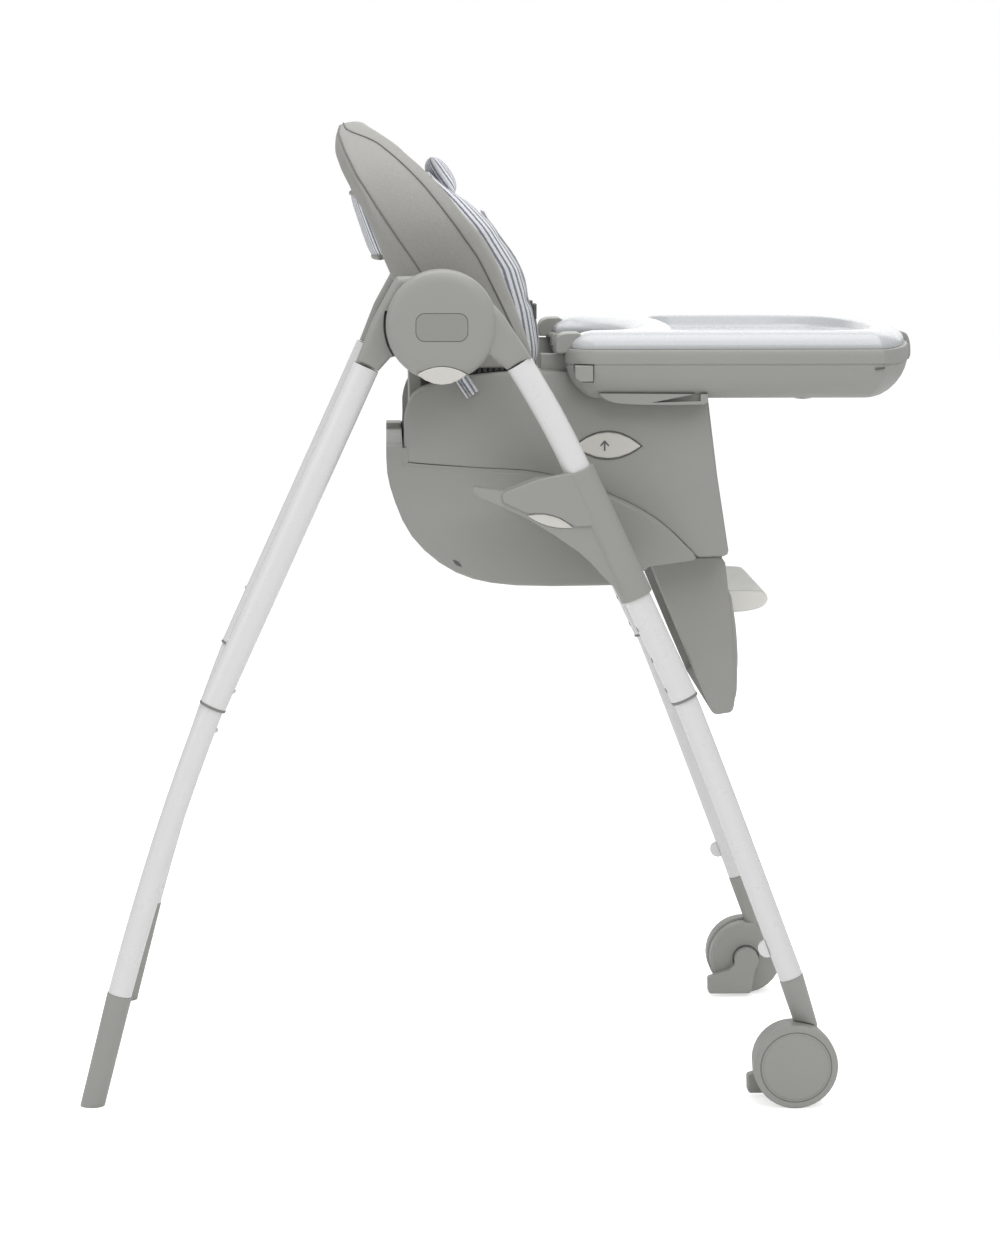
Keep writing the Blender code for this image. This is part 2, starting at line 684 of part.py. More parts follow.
def upper_shell():
    shell = add(
        "seat_upper_shell", slab(upper_outline(), -SHELL_HALF, SHELL_HALF), "grey_plastic", "seat"
    )
    round_edges(shell, 0.006, 2, 50)
    rail_foot = ARM_TOP - 0.0035
    rail = [
        (RAIL_REAR, rail_foot), (RAIL_FRONT, rail_foot), (RAIL_FRONT, RAIL_TOP), (RAIL_REAR, RAIL_TOP)
    ]
    for _, sign in SIDES:
        combine(shell, side_slab(rail, sign, *RAIL_Y), "UNION")
        combine(
            shell, side_slab(release_outline(RUNNING_GAP), sign, SHELL_HALF - 0.012, SHELL_HALF + 0.02)
        )
    floor_top = SEAT_FLOOR + SEAT_FLOOR_THICKNESS
    channel = [(-0.2, floor_top), (0.3, floor_top), (0.3, 0.9), (-0.2, 0.9)]
    combine(shell, slab(channel, -ARMREST_INNER, ARMREST_INNER))
    under = [(-0.2, 0.50), (0.2090, 0.50), (0.2090, SEAT_FLOOR), (-0.2, SEAT_FLOOR)]
    combine(shell, slab(under, -SHELL_HALF + SHELL_WALL, SHELL_HALF - SHELL_WALL))
    boss_rear, boss_front, boss_low = 0.0680, 0.1550, 0.6880
    walls = [(-0.0980, SEAT_FLOOR - 0.002), (0.2080, SEAT_FLOOR - 0.002), (0.2060, ARM_TOP - 0.010),
             (boss_front, ARM_TOP - 0.010), (boss_front, boss_low), (boss_rear, boss_low),
             (boss_rear, ARM_TOP - 0.006), (0.0352, ARM_TOP - 0.006), (-0.0850, 0.7620)]
    for _, sign in SIDES:
        combine(shell, side_slab(walls, sign, ARMREST_INNER + ARM_WALL, SHELL_HALF - ARM_WALL))
        combine(shell, side_slab(calf_lug_outline(), sign, CALF_LUG, CALF_LUG + 0.007), "UNION")
        combine(
            shell, cross_pin(CALF_HINGE, sign, CALF_LUG - PIVOT_PIN_REACH, CALF_LUG + 0.015), "UNION"
        )
        inner = BACK_LOWER_HALF - PIVOT_PIN_REACH
        combine(shell, cross_pin(BACK_PIVOT, sign, inner, ARMREST_INNER + 0.002), "UNION")


def seat_release(side, sign):
    group = f"seat_release_{side}"
    body(group, (0.1110, sign * SHELL_HALF, 0.7080))
    mesh = side_slab(release_outline(), sign, SHELL_HALF - 0.008, SHELL_HALF + BUTTON_PROUD)
    round_edges(add(group, mesh, "pale_plastic", group), 0.001, 1)


def wing_outline():
    """The carriage's side plate: a point at the rear that widens to the leg sleeve."""
    upper = [
        along_leg(SLEEVE_START + SLEEVE_LENGTH - 0.004), (0.0302, 0.6800), (-0.0020, 0.6670),
        (-0.0345, 0.6715)
    ]
    lower = smooth(
        [
            (-0.0345, 0.6690), (-0.0274, 0.6610), (0.0217, 0.6388), (0.0763, 0.6028), (0.0984, 0.5806),
            (0.1230, 0.5560)
        ],
        2
    )
    return upper + lower + [along_leg(SLEEVE_START + 0.004)]


def height_button_outline(gap=0.0):
    return lens((0.0458, 0.6352), 0.0250 + gap, 0.0068 + gap, 0.0048 + gap, -15)


def leg_cutter(sign, gap):
    low, high = along_leg(-0.02), along_leg(FRONT_STRAIGHT + 0.05)
    return rod(
        (low[0], sign * FRONT_LEG_Y, low[1]), (high[0], sign * FRONT_LEG_Y, high[1]),
        UPPER_TUBE_RADIUS + gap, segments=28
    )


def carriage(side, sign):
    low, high = along_leg(SLEEVE_START), along_leg(SLEEVE_START + SLEEVE_LENGTH)
    sleeve = rod(
        (low[0], sign * FRONT_LEG_Y, low[1]), (high[0], sign * FRONT_LEG_Y, high[1]), SLEEVE_RADIUS,
        segments=36
    )
    carrier = add(f"height_carriage_{side}", sleeve, "grey_plastic", "seat")
    round_edges(carrier, 0.0010, 1)
    combine(carrier, side_slab(wing_outline(), sign, WING_INNER, WING_OUTER), "UNION")
    bridge = [along_leg(SLEEVE_START + 0.030, -0.012), along_leg(SLEEVE_START + 0.030, 0.012),
              along_leg(SLEEVE_START + 0.125, 0.012), along_leg(SLEEVE_START + 0.125, -0.012)]
    combine(carrier, side_slab(bridge, sign, SHELL_HALF + TOUCH_GAP, FRONT_LEG_Y), "UNION")
    combine(carrier, leg_cutter(sign, RUNNING_GAP))
    hole = side_slab(height_button_outline(RUNNING_GAP), sign, WING_OUTER - 0.012, WING_OUTER + 0.01)
    combine(carrier, hole)


def height_button(side, sign):
    group = f"height_button_{side}"
    body(group, (0.0458, sign * WING_OUTER, 0.6352))
    mesh = side_slab(height_button_outline(), sign, WING_OUTER - 0.008, WING_OUTER + BUTTON_PROUD)
    round_edges(add(group, mesh, "pale_plastic", group), 0.0008, 1)


def seat_cushion():
    base = SEAT_FLOOR + SEAT_FLOOR_THICKNESS + TOUCH_GAP
    outline = [
        (-0.0300, base), (0.2240, base), (0.2240, SEAT_PAD_TOP - 0.006), (0.2120, SEAT_PAD_TOP),
        (-0.0200, SEAT_PAD_TOP - 0.004)
    ]
    half = ARMREST_INNER - 0.006
    round_edges(add("seat_cushion", slab(outline, -half, half), "leatherette", "seat"), 0.006, 2)


def harness():
    top = SEAT_PAD_TOP + TOUCH_GAP
    reach = ARMREST_INNER - 0.015
    belt = block((0.0200, -reach, top), (0.0450, reach, top + 0.002))
    straps = add("lap_straps", belt, "webbing", "seat")
    combine(straps, block((0.0400, -0.014, top), (0.0790, 0.014, top + 0.0017)), "UNION")
    combine(straps, block((0.0765, -0.014, top), (0.0790, 0.014, top + 0.0120)), "UNION")
    buckle = add(
        "harness_buckle", block((0.0450, -0.030, top + 0.0125), (0.0850, 0.030, top + 0.0265)),
        "pale_plastic", "seat"
    )
    round_edges(buckle, 0.003, 2)
    combine(buckle, block((0.0525, -0.0125, top + 0.0205), (0.0775, 0.0125, top + 0.04)))
    body("buckle_button", (0.0650, 0, top + 0.0265))
    button = block((0.0530, -0.012, top + 0.0235), (0.0770, 0.012, top + 0.0280))
    round_edges(add("buckle_button", button, "dark_plastic", "buckle_button"), 0.0010, 1)


# ---------------------------------------------------------------- backrest
def back_rear_line():
    """The back's rear face, from the bottom to the top."""
    return smooth(
        [
            (-0.1000, BACK_BOTTOM), (-0.1010, 0.8000), (-0.1145, 0.8769), (-0.1308, 0.9200),
            (-0.1520, 0.9750), (-0.1726, 1.0205), (-0.1789, 1.0400)
        ],
        3
    )


def bolster_line():
    """The front edge of the side bolsters, from the top to the armrests."""
    return smooth(
        [
            (-0.1700, 1.0490), (-0.1428, 1.0510), (-0.1026, 1.0279), (-0.0560, 0.9806),
            (-0.0092, 0.9065), (0.0080, 0.8597), (0.0251, 0.8191), (0.0310, 0.7960)
        ],
        3
    )


def pad_bed_line():
    """The face that the back pad lies on, from the top to the seat."""
    return smooth(
        [(-0.1350, 1.0250), (-0.1050, 0.9600), (-0.0700, 0.8700), (-0.0520, 0.8000), (-0.0500, 0.7120)],
        3
    )


def pad_front_line():
    return smooth(
        [
            (-0.0600, 0.9930), (-0.0347, 0.9679), (-0.0091, 0.9383), (0.0186, 0.8937), (0.0315, 0.8490),
            (0.0380, 0.8084), (0.0360, 0.7120)
        ],
        3
    )


def front_rounding(half, shoulder, top, low):
    """A front-view outline (y, z): straight sides with a domed top."""
    dome = [
        (half * math.cos(a), shoulder + (top - shoulder) * math.sin(a))
        for a in [math.pi * i / 16 for i in range(17)]
    ]
    return [(-half, low), (half, low)] + dome


def backrest():
    group = "backrest"
    rear = back_rear_line()
    shell_front = list(reversed(offset(rear, -BACK_SHELL_THICKNESS)))
    shell = add(
        "backrest_shell", slab(rear + shell_front, -BACK_LOWER_HALF, BACK_LOWER_HALF), "grey_plastic",
        group
    )
    round_edges(shell, 0.003, 2, 60)
    combine(
        shell, slab(front_rounding(BACK_LOWER_HALF - 0.004, 0.93, 1.034, 0.60), -0.3, 0.3, "YZ"),
        "INTERSECT"
    )
    for _, sign in SIDES:
        inner = BACK_LOWER_HALF - PIVOT_PIN_REACH
        combine(shell, cross_pin(BACK_PIVOT, sign, inner, BACK_LOWER_HALF + 0.01, RUNNING_GAP))
    cover_rear = offset(rear, -BACK_SHELL_THICKNESS - TOUCH_GAP)
    cover_rear = [(x, z) for x, z in cover_rear if z > 0.80]
    outline = [(-0.0880, 0.7960)] + cover_rear + [(-0.1789, 1.0430)] + bolster_line()
    cover = add(
        "backrest_cover", slab(list(reversed(outline)), -BACK_HALF, BACK_HALF), "leatherette", group
    )
    combine(
        cover, slab(front_rounding(BACK_HALF - 0.002, 0.93, 1.0505, 0.60), -0.3, 0.3, "YZ"), "INTERSECT"
    )
    bed = pad_bed_line()
    recess = bed + [(0.1, 0.7120), (0.1, 1.10), (-0.1350, 1.10)]
    combine(cover, slab(recess, -BACK_PAD_HALF - 0.002, BACK_PAD_HALF + 0.002))
    pad_outline = [
        (x, z) for x, z in offset(bed, 0.0008) if z < 0.99
    ] + list(reversed(pad_front_line()))
    pad = add("back_pad", slab(pad_outline, -BACK_PAD_HALF, BACK_PAD_HALF), "striped_fabric", group)
    round_edges(pad, 0.006, 2, 60)
    head = smooth(
        [(-0.1080, 1.0020), (-0.0960, 1.0240), (-0.0665, 1.0143), (-0.0480, 0.9900)], 2
    ) + [(-0.0600, 0.9700), (-0.0950, 0.9700)]
    combine(pad, slab(list(reversed(head)), -0.085, 0.085), "UNION")
    pocket_rear = offset([p for p in rear if 0.89 < p[1] < 0.985], 0.0075)
    pocket_front = offset([p for p in rear if 0.89 < p[1] < 0.985], TOUCH_GAP)
    pocket = add(
        "rear_pocket", slab(pocket_rear + list(reversed(pocket_front)), -0.11, 0.11), "striped_fabric",
        group
    )
    round_edges(pocket, 0.002, 2, 60)
    shoulder_straps()


def shoulder_straps():
    line = [p for p in pad_front_line() if 0.745 < p[1] < 0.955]
    strip = offset(line, 0.0005) + list(reversed(offset(line, 0.0025)))
    straps = add("shoulder_straps", slab(strip, -0.062, -0.036), "webbing", "backrest")
    combine(straps, slab(strip, 0.036, 0.062), "UNION")
    yoke = offset(line[:4], 0.0007) + list(reversed(offset(line[:4], 0.0023)))
    combine(straps, slab(yoke, -0.050, 0.050), "UNION")


# ---------------------------------------------------------------- tray
def tray_plan(inset=0.0, belly=0.0):
    """The tray from above: straight sides, a bowed front and a belly recess between the two arms."""
    half = TRAY_HALF - inset
    rear = TRAY_REAR + inset
    corner = 0.030
    front = []
    for i in range(15):
        t = -1 + 2 * i / 14
        reach = TRAY_SHOULDER + (TRAY_FRONT - inset - TRAY_SHOULDER) * (1 - abs(t) ** 1.4) ** 0.62
        front.append((reach, t * half))
    recess_half = TRAY_BELLY_HALF + inset + belly
    left_arm = arc((rear + corner, half - corner), corner, 90, 180, 4) + [(rear, recess_half + 0.014)]
    right_arm = [(rear, -recess_half - 0.014)] + arc(
        (rear + corner, -half + corner), corner, 180, 270, 4
    )
    recess = []
    for i in range(11):
        t = 1 - 2 * i / 10
        recess.append((rear + 0.004 + (TRAY_BELLY_DEPTH + inset) * (1 - t * t) ** 0.5, t * recess_half))
    return front + left_arm + recess + right_arm


def tray_side():
    """The tray from the right: a round rear end and an underside that rises towards the front."""
    rear = smooth(
        [
            (TRAY_REAR - 0.001, TRAY_TOP + 0.001), (TRAY_REAR - 0.001, 0.7900), (0.0760, 0.7680),
            (0.0960, TRAY_BOTTOM)
        ],
        3
    )
    low = [(0.1950, 0.7580), (0.2060, 0.7620), (0.3200, 0.7625), (0.3750, 0.7590)]
    front = smooth(
        [(0.3750, 0.7590), (0.4200, 0.7640), (0.4500, 0.7850), (0.4640, TRAY_TOP + 0.001)], 3
    )
    return rear + low[:-1] + front


def tray_button_outline(gap=0.0):
    low, high = (0.0735 - gap, 0.7790 - gap), (0.0925 + gap, 0.7960 + gap)
    return [
        (low[0], low[1] + 0.004), (low[0] + 0.005, low[1]), (high[0], low[1]), (high[0], high[1]),
        (low[0], high[1])
    ]


def tray():
    group = "tray"
    tub = add(
        "tray_body", slab(tray_plan(), TRAY_BOTTOM - 0.004, TRAY_TOP, "XY"), "grey_plastic", group
    )
    round_edges(tub, 0.004, 2, 60)
    combine(tub, slab(tray_side(), -0.4, 0.4), "INTERSECT")
    combine(tub, slab(tray_plan(TRAY_WALL), 0.70, TRAY_TOP - TRAY_WALL, "XY"))
    for sign in (-1, 1):
        notch = [(0.02, 0.70), (0.10, 0.70), (0.10, RAIL_TOP + 0.0015), (0.02, RAIL_TOP + 0.0015)]
        combine(tub, side_slab(notch, sign, TRAY_BELLY_HALF + 0.006, SHELL_HALF + 0.006))
        hole = side_slab(tray_button_outline(RUNNING_GAP), sign, TRAY_HALF - 0.020, TRAY_HALF + 0.01)
        combine(tub, hole)


def tray_button(side, sign):
    group = f"tray_button_{side}"
    body(group, (0.0830, sign * TRAY_HALF, 0.7870))
    mesh = side_slab(tray_button_outline(), sign, TRAY_HALF - 0.010, TRAY_HALF + 0.0006)
    round_edges(add(group, mesh, "grey_plastic", group), 0.0008, 1)


def tray_insert():
    base = TRAY_TOP + TOUCH_GAP
    plan = tray_plan(INSERT_MARGIN)
    insert = add(
        "tray_insert", slab(plan, base, base + INSERT_HEIGHT, "XY"), "tray_white", "tray_insert"
    )
    round_edges(insert, 0.006, 2, 60)
    corner = 0.045
    low_x, high_x = TRAY_REAR + TRAY_BELLY_DEPTH + INSERT_RIM, TRAY_FRONT - INSERT_RIM - 0.006
    half = TRAY_HALF - INSERT_RIM - 0.006
    dish = []
    for quarter, (sx, sy) in enumerate(((1, 1), (-1, 1), (-1, -1), (1, -1))):
        centre = ((high_x if sx > 0 else low_x) - sx * corner, sy * (half - corner))
        dish += arc(centre, corner, 90 * quarter, 90 * quarter + 90, 5)
    combine(insert, slab(dish, base + INSERT_FLOOR, base + 0.05, "XY"))


def tray_release():
    body("tray_release", (0.3400, 0, TRAY_BOTTOM))
    outline = smooth(
        [(0.3120, 0.7600), (0.3250, 0.7500), (0.3400, 0.7475), (0.3560, 0.7510), (0.3680, 0.7600)], 3
    ) + [(0.3500, RELEASE_TOP), (0.3300, RELEASE_TOP)]
    round_edges(
        add("tray_release", slab(outline, -0.045, 0.045), "grey_plastic", "tray_release"), 0.002, 2
    )


# ---------------------------------------------------------------- calf rest
def calf_rest():
    group = "calf_rest"
    corner = arc(CALF_HINGE, CALF_CORNER, 90, 0, 4)
    front = smooth([(0.2484, 0.5294), (0.2540, 0.4664), (0.2548, 0.4260), (0.2517, 0.4118)], 3)
    outline = [(0.1610, 0.5745), (0.2100, 0.5835)] + corner + front + [
        (0.2333, 0.4090), (0.2290, 0.4130), (0.2080, 0.4612), (0.1664, 0.5600)
    ]
    outline = list(reversed(outline))
    panel = add("calf_rest", slab(outline, -CALF_HALF, CALF_HALF), "leatherette", group)
    round_edges(panel, 0.0022, 1, 50)
    hollow = [
        (0.10, 0.60), (0.10, 0.40), (0.2260, 0.4130), (0.2395, 0.4260), (0.2400, 0.4664),
        (0.2340, 0.5294), (0.2130, 0.5600), (0.2130, 0.60)
    ]
    combine(panel, slab(hollow, -CALF_HALF + CALF_WALL, CALF_HALF - CALF_WALL))
    x, z = CALF_HINGE
    slot = [
        (x - 0.0125, z - 0.0125), (x + 0.03, z - 0.0125), (x + 0.03, z + 0.03), (x - 0.0125, z + 0.03)
    ]
    for _, sign in SIDES:
        combine(panel, side_slab(slot, sign, CALF_LUG - RUNNING_GAP, CALF_LUG + 0.007 + RUNNING_GAP))
        bore = cross_pin(CALF_HINGE, sign, CALF_LUG - PIVOT_PIN_REACH, CALF_LUG + 0.015, RUNNING_GAP)
        combine(panel, bore)


def footrest():
    body("footrest", (0.2480, 0, 0.5500))
    outline = [(0.2502, 0.5172), (0.2700, 0.5192), (0.2860, 0.5228), (0.2930, 0.5262),
               (0.2944, 0.5380), (0.2843, 0.5540), (0.2700, 0.5620), (0.2453, 0.5630)]
    round_edges(
        add("footrest", slab(outline, -FOOTREST_HALF, FOOTREST_HALF), "footrest_cream", "footrest"),
        0.003, 2
    )


# ---------------------------------------------------------------- assembly
def build():
    body("rear_frame", (HUB_X, 0, HUB_Z))
    body("seat", (*along_leg(SLEEVE_START)[:1], 0, along_leg(SLEEVE_START)[1]))
    body("backrest", (BACK_PIVOT[0], 0, BACK_PIVOT[1]))
    body("tray", (TRAY_REAR, 0, TRAY_BOTTOM))
    body("tray_insert", (TRAY_REAR, 0, TRAY_TOP))
    body("calf_rest", (CALF_HINGE[0], 0, CALF_HINGE[1]))
    for side, sign in SIDES:
        hub(side, sign)
        fold_button(side, sign)
        front_leg(side, sign)
        castor(side, sign)
        castor_bracket(side, sign)
        wheel(side, sign)
        brake(side, sign)
        rear_leg(side, sign)
        carriage(side, sign)
        height_button(side, sign)
        seat_release(side, sign)
        tray_button(side, sign)
    front_crossbar()
    rear_crossbar()
    lower_shell()
    upper_shell()
    seat_cushion()
    harness()
    backrest()
    tray()
    tray_insert()
    tray_release()
    calf_rest()
    footrest()


build()
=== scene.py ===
"""Visual model of a folding baby high chair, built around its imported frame.

Metres, +Z up. The chair faces +X, the floor is Z = 0 and Y = 0 is its plane of symmetry.
The chair's right side is at -Y.
"""

import math

import bmesh
import bpy
from bpy.props import FloatProperty, FloatVectorProperty, PointerProperty
from mathutils import Matrix, Vector
from mathutils.bvhtree import BVHTree
from mathutils.kdtree import KDTree


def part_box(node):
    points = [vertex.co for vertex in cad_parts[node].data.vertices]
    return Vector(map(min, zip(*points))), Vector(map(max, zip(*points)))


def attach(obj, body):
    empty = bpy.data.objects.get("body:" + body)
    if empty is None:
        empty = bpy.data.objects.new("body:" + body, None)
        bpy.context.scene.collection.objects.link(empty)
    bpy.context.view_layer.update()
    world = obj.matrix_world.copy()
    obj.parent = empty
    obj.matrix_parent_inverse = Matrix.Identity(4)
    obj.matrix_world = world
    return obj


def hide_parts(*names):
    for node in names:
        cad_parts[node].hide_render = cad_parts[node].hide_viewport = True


bl_info = {
    "name": "Baby High Chair",
    "version": (1, 0, 0),
    "blender": (4, 5, 0),
    "location": "3D View > Sidebar > High Chair",
    "description": "Builds a folding baby high chair with its materials and its studio",
    "category": "Add Mesh",
}

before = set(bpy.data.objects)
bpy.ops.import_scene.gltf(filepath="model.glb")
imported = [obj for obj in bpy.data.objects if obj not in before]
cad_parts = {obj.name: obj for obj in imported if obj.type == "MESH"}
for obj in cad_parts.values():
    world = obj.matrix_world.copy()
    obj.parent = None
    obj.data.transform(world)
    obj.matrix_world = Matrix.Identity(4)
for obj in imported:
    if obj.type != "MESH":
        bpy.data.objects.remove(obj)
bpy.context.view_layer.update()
SIDES = (("right", -1), ("left", 1))

# Hubs: their axis in (x, z), their outer face, and the gap between the two discs.
HUB = Vector((-0.067, 0.8395))
HUB_FACE = 0.282
HUB_SPLIT = 0.2471

# Legs: the joints between their tubes in (x, z), and the way up the front leg.
FRONT_LEG_Y = 0.262
REAR_LEG_Y = 0.231
FRONT_JOINT = Vector((0.189, 0.4455))
FRONT_LEAN = math.radians(25.2)
FRONT_UP = Vector((-math.sin(FRONT_LEAN), math.cos(FRONT_LEAN)))
REAR_TOP = Vector((-0.1455, 0.7960))
REAR_JOINT = Vector((-0.3106, 0.4348))
CASTOR = Vector((0.3115, 0.0455))

TRAY_HALF = 0.240
TRAY_REAR = 0.0643
TRAY_FRONT = 0.4584
TRAY_SHOULDER = 0.398
TRAY_TOP = 0.8125
TRAY_BOTTOM = 0.7595

WEBBING_THICKNESS = 0.0014
PANEL_TOP = 0.93
BACK_TOP = 1.0505
BACK_HALF = 0.186

# Where the back's lines run: height, then distance forwards.
BACK_REAR = [(0.70, -0.1000), (0.80, -0.1010), (0.8769, -0.1145), (0.92, -0.1308),
             (0.975, -0.1520), (1.0205, -0.1726), (1.0405, -0.1789), (1.0505, -0.1760)]
BOLSTER_FRONT = [(0.796, 0.0310), (0.8191, 0.0251), (0.8597, 0.0080), (0.9065, -0.0092),
                 (0.9400, -0.0285), (0.9806, -0.0560), (1.0050, -0.0780), (1.0279, -0.1026),
                 (1.0400, -0.1200), (1.0505, -0.1400)]
PAD_BACK = [(0.700, -0.0500), (0.80, -0.0520), (0.87, -0.0700), (0.96, -0.1050),
            (1.025, -0.1350)]
PAD_FRONT = [(0.700, 0.0360), (0.8084, 0.0380), (0.849, 0.0315), (0.8937, 0.0186),
             (0.9383, -0.0091), (0.9679, -0.0347), (0.993, -0.0600)]
# Where the two piped seams cross the side of the bolster, as shares of its depth from the rear.
FRONT_SEAM = [(0.79, 0.95), (0.86, 0.91), (0.913, 0.847), (0.96, 0.775), (0.995, 0.70),
              (1.015, 0.63), (1.026, 0.55), (1.034, 0.40), (1.0394, 0.24), (1.0505, 0.14)]
REAR_SEAM = [(0.79, 0.42), (0.8400, 0.36), (0.8938, 0.28), (0.9362, 0.175), (0.97, 0.10),
             (0.9932, 0.06), (1.0505, 0.05)]


# ---------------------------------------------------------------- sizes and colours
def length(name, description, default):
    return FloatProperty(name=name, description=description, default=default, unit="LENGTH",
                         precision=4)


def colour(name, description, default):
    return FloatVectorProperty(name=name, description=description, default=default, size=3,
                               subtype="COLOR", min=0, max=1)


class HighChairSizes(bpy.types.PropertyGroup):
    """Sizes of the trim and the upholstery"""

    piping: length("Piping", "Radius of the piping along the seams", 0.0010)
    bolster: length("Bolster", "Thickness of the padded sides of the back", 0.068)
    webbing: length("Webbing", "Width of the harness webbing", 0.025)
    stripe: length("Stripe pitch", "Distance from one stripe of the fabric to the next", 0.0068)
    stud: length("Stud", "Radius of the spring studs in the legs", 0.0028)


class HighChairColours(bpy.types.PropertyGroup):
    """Colours of the chair's materials"""

    shell: colour("Shell", "Grey plastic of the hubs, the seat and the tray", (0.326, 0.326, 0.307))
    joint: colour("Joints", "Dark plastic of the collars", (0.11, 0.11, 0.105))
    tube: colour("Tube", "White enamel of the legs", (0.74, 0.74, 0.74))
    button: colour("Buttons", "Pale plastic of the buttons", (0.64, 0.625, 0.585))
    # Partly painted shade: the insert's white plastic is set darker so that its dish reads as shaded.
    tray: colour("Tray", "White plastic of the tray's insert", (0.53, 0.545, 0.56))
    step: colour("Footrest", "Cream plastic of the footrest", (0.80, 0.795, 0.75))
    leather: colour("Leatherette", "Grey leatherette of the upholstery", (0.335, 0.330, 0.312))
    cloth: colour("Fabric", "White ground of the striped fabric", (0.76, 0.77, 0.79))
    stripe: colour("Stripes", "Blue-grey lines of the striped fabric", (0.22, 0.235, 0.29))
    web: colour("Webbing", "Grey harness webbing", (0.50, 0.51, 0.52))


# ---------------------------------------------------------------- lines and outlines
def at(table, value):
    """Reads a table of (key, value) pairs, straight between its rows."""
    if value <= table[0][0]:
        return table[0][1]
    for (a, low), (b, high) in zip(table, table[1:]):
        if value <= b:
            return low + (high - low) * (value - a) / (b - a)
    return table[-1][1]


def arc(centre, radius, start, end, count):
    """Points along an arc, from one angle in degrees to another."""
    turns = [math.radians(start + (end - start) * i / count) for i in range(count + 1)]
    return [(centre[0] + radius * math.cos(a), centre[1] + radius * math.sin(a)) for a in turns]


def smooth(points, count=4):
    """An open line through the points, rounded as a Catmull-Rom curve."""
    ends = [Vector(p) for p in (points[0], *points, points[-1])]
    line = []
    for p0, p1, p2, p3 in zip(ends, ends[1:], ends[2:], ends[3:]):
        for t in (i / count for i in range(count)):
            line.append(0.5 * (2 * p1 + (p2 - p0) * t + (2 * p0 - 5 * p1 + 4 * p2 - p3) * t * t
                               + (3 * p1 - p0 - 3 * p2 + p3) * t ** 3))
    return [tuple(p) for p in line] + [tuple(points[-1])]


def leaf(centre, half_length, rise, drop, tilt=0.0, count=10):
    """A leaf-shaped outline: two shallow curves that meet at pointed ends."""
    turn = Matrix.Rotation(math.radians(tilt), 2)
    shares = [-1 + 2 * i / count for i in range(count)]
    points = [turn @ Vector((t * half_length, -drop * (1 - t * t))) for t in shares]
    points += [turn @ Vector((-t * half_length, rise * (1 - t * t))) for t in shares]
    return [(centre[0] + p.x, centre[1] + p.y) for p in points]


def rounded_plate(half_width, half_height, corner, count=8):
    """A rounded rectangle about the origin."""
    points = []
    for quarter, (sx, sz) in enumerate(((1, 1), (-1, 1), (-1, -1), (1, -1))):
        centre = (sx * (half_width - corner), sz * (half_height - corner))
        points += arc(centre, corner, 90 * quarter, 90 * quarter + 90, count)
    return points


def in_space(plane, point, depth):
    """A point of an outline, which lies upright (XZ) or flat (XY), at a depth."""
    if plane == "XZ":
        return Vector((point[0], depth, point[1]))
    return Vector((point[0], point[1], depth))


# ---------------------------------------------------------------- meshes
def extruded(points, low, high, rounding=0.0, segments=3, plane="XZ"):
    """An outline filled, given thickness, and rounded along both rims."""
    bm = bmesh.new()
    face = bm.faces.new([bm.verts.new(in_space(plane, p, low)) for p in points])
    made = bmesh.ops.extrude_face_region(bm, geom=[face])["geom"]
    top = [v for v in made if isinstance(v, bmesh.types.BMVert)]
    bmesh.ops.translate(bm, verts=top, vec=in_space(plane, (0, 0), high - low))
    bmesh.ops.recalc_face_normals(bm, faces=bm.faces)
    if rounding:
        axis = 1 if plane == "XZ" else 2
        rims = [e for e in bm.edges if abs(e.verts[0].co[axis] - e.verts[1].co[axis]) < 1e-6]
        bmesh.ops.bevel(bm, geom=rims, offset=rounding, segments=segments, profile=0.5,
                        affect="EDGES", material=-1, clamp_overlap=True)
    return bm


def on_side(points, sign, inner, outer, rounding=0.0, segments=3):
    """An XZ outline with thickness, between two distances from the chair's middle."""
    return extruded(points, min(sign * inner, sign * outer), max(sign * inner, sign * outer),
                    rounding, segments)


def skin(rows, closed=False):
    """A surface through rows of points, with a UV map in metres. Closed joins each row's ends."""
    across, along = len(rows[0]) - 1, len(rows) - 1
    bm = bmesh.new()
    bmesh.ops.create_grid(bm, x_segments=across, y_segments=along, size=1)
    uv = bm.loops.layers.uv.new("UVMap")
    bm.verts.index_update()
    middle = rows[along // 2]
    us = [0.0]
    for a, b in zip(middle, middle[1:]):
        us.append(us[-1] + (Vector(b) - Vector(a)).length)
    vs = [0.0]
    for a, b in zip(rows, rows[1:]):
        vs.append(vs[-1] + max((Vector(q) - Vector(p)).length for p, q in zip(a, b)))
    for face in bm.faces:
        for corner in face.loops:
            row, column = divmod(corner.vert.index, across + 1)
            corner[uv].uv = (us[column], vs[row])
    for vert in bm.verts:
        row, column = divmod(vert.index, across + 1)
        vert.co = rows[row][column]
    if closed:
        bmesh.ops.remove_doubles(bm, verts=bm.verts, dist=1e-5)
        bmesh.ops.dissolve_degenerate(bm, edges=bm.edges, dist=1e-6)
        bmesh.ops.recalc_face_normals(bm, faces=bm.faces)
    return bm


def pillow(place, above, below, across, along, squareness=5.0):
    """A closed pad: place(u, v, height) puts a point of it in space, with u and v from -1 to 1."""
    def crown(u, v):
        edge = (1 - abs(u) ** squareness) * (1 - abs(v) ** squareness)
        return max(edge, 0.0) ** 0.5

    rows = []
    for j in range(along + 1):
        v = math.sin(math.pi / 2 * (-1 + 2 * j / along))
        us = [math.sin(math.pi / 2 * (-1 + 2 * i / across)) for i in range(across + 1)]
        top = [place(u, v, above * crown(u, v)) for u in us]
        bottom = [place(u, v, -below * crown(u, v)) for u in reversed(us)]
        rows.append(top + bottom[1:])
    return skin(rows, closed=True)


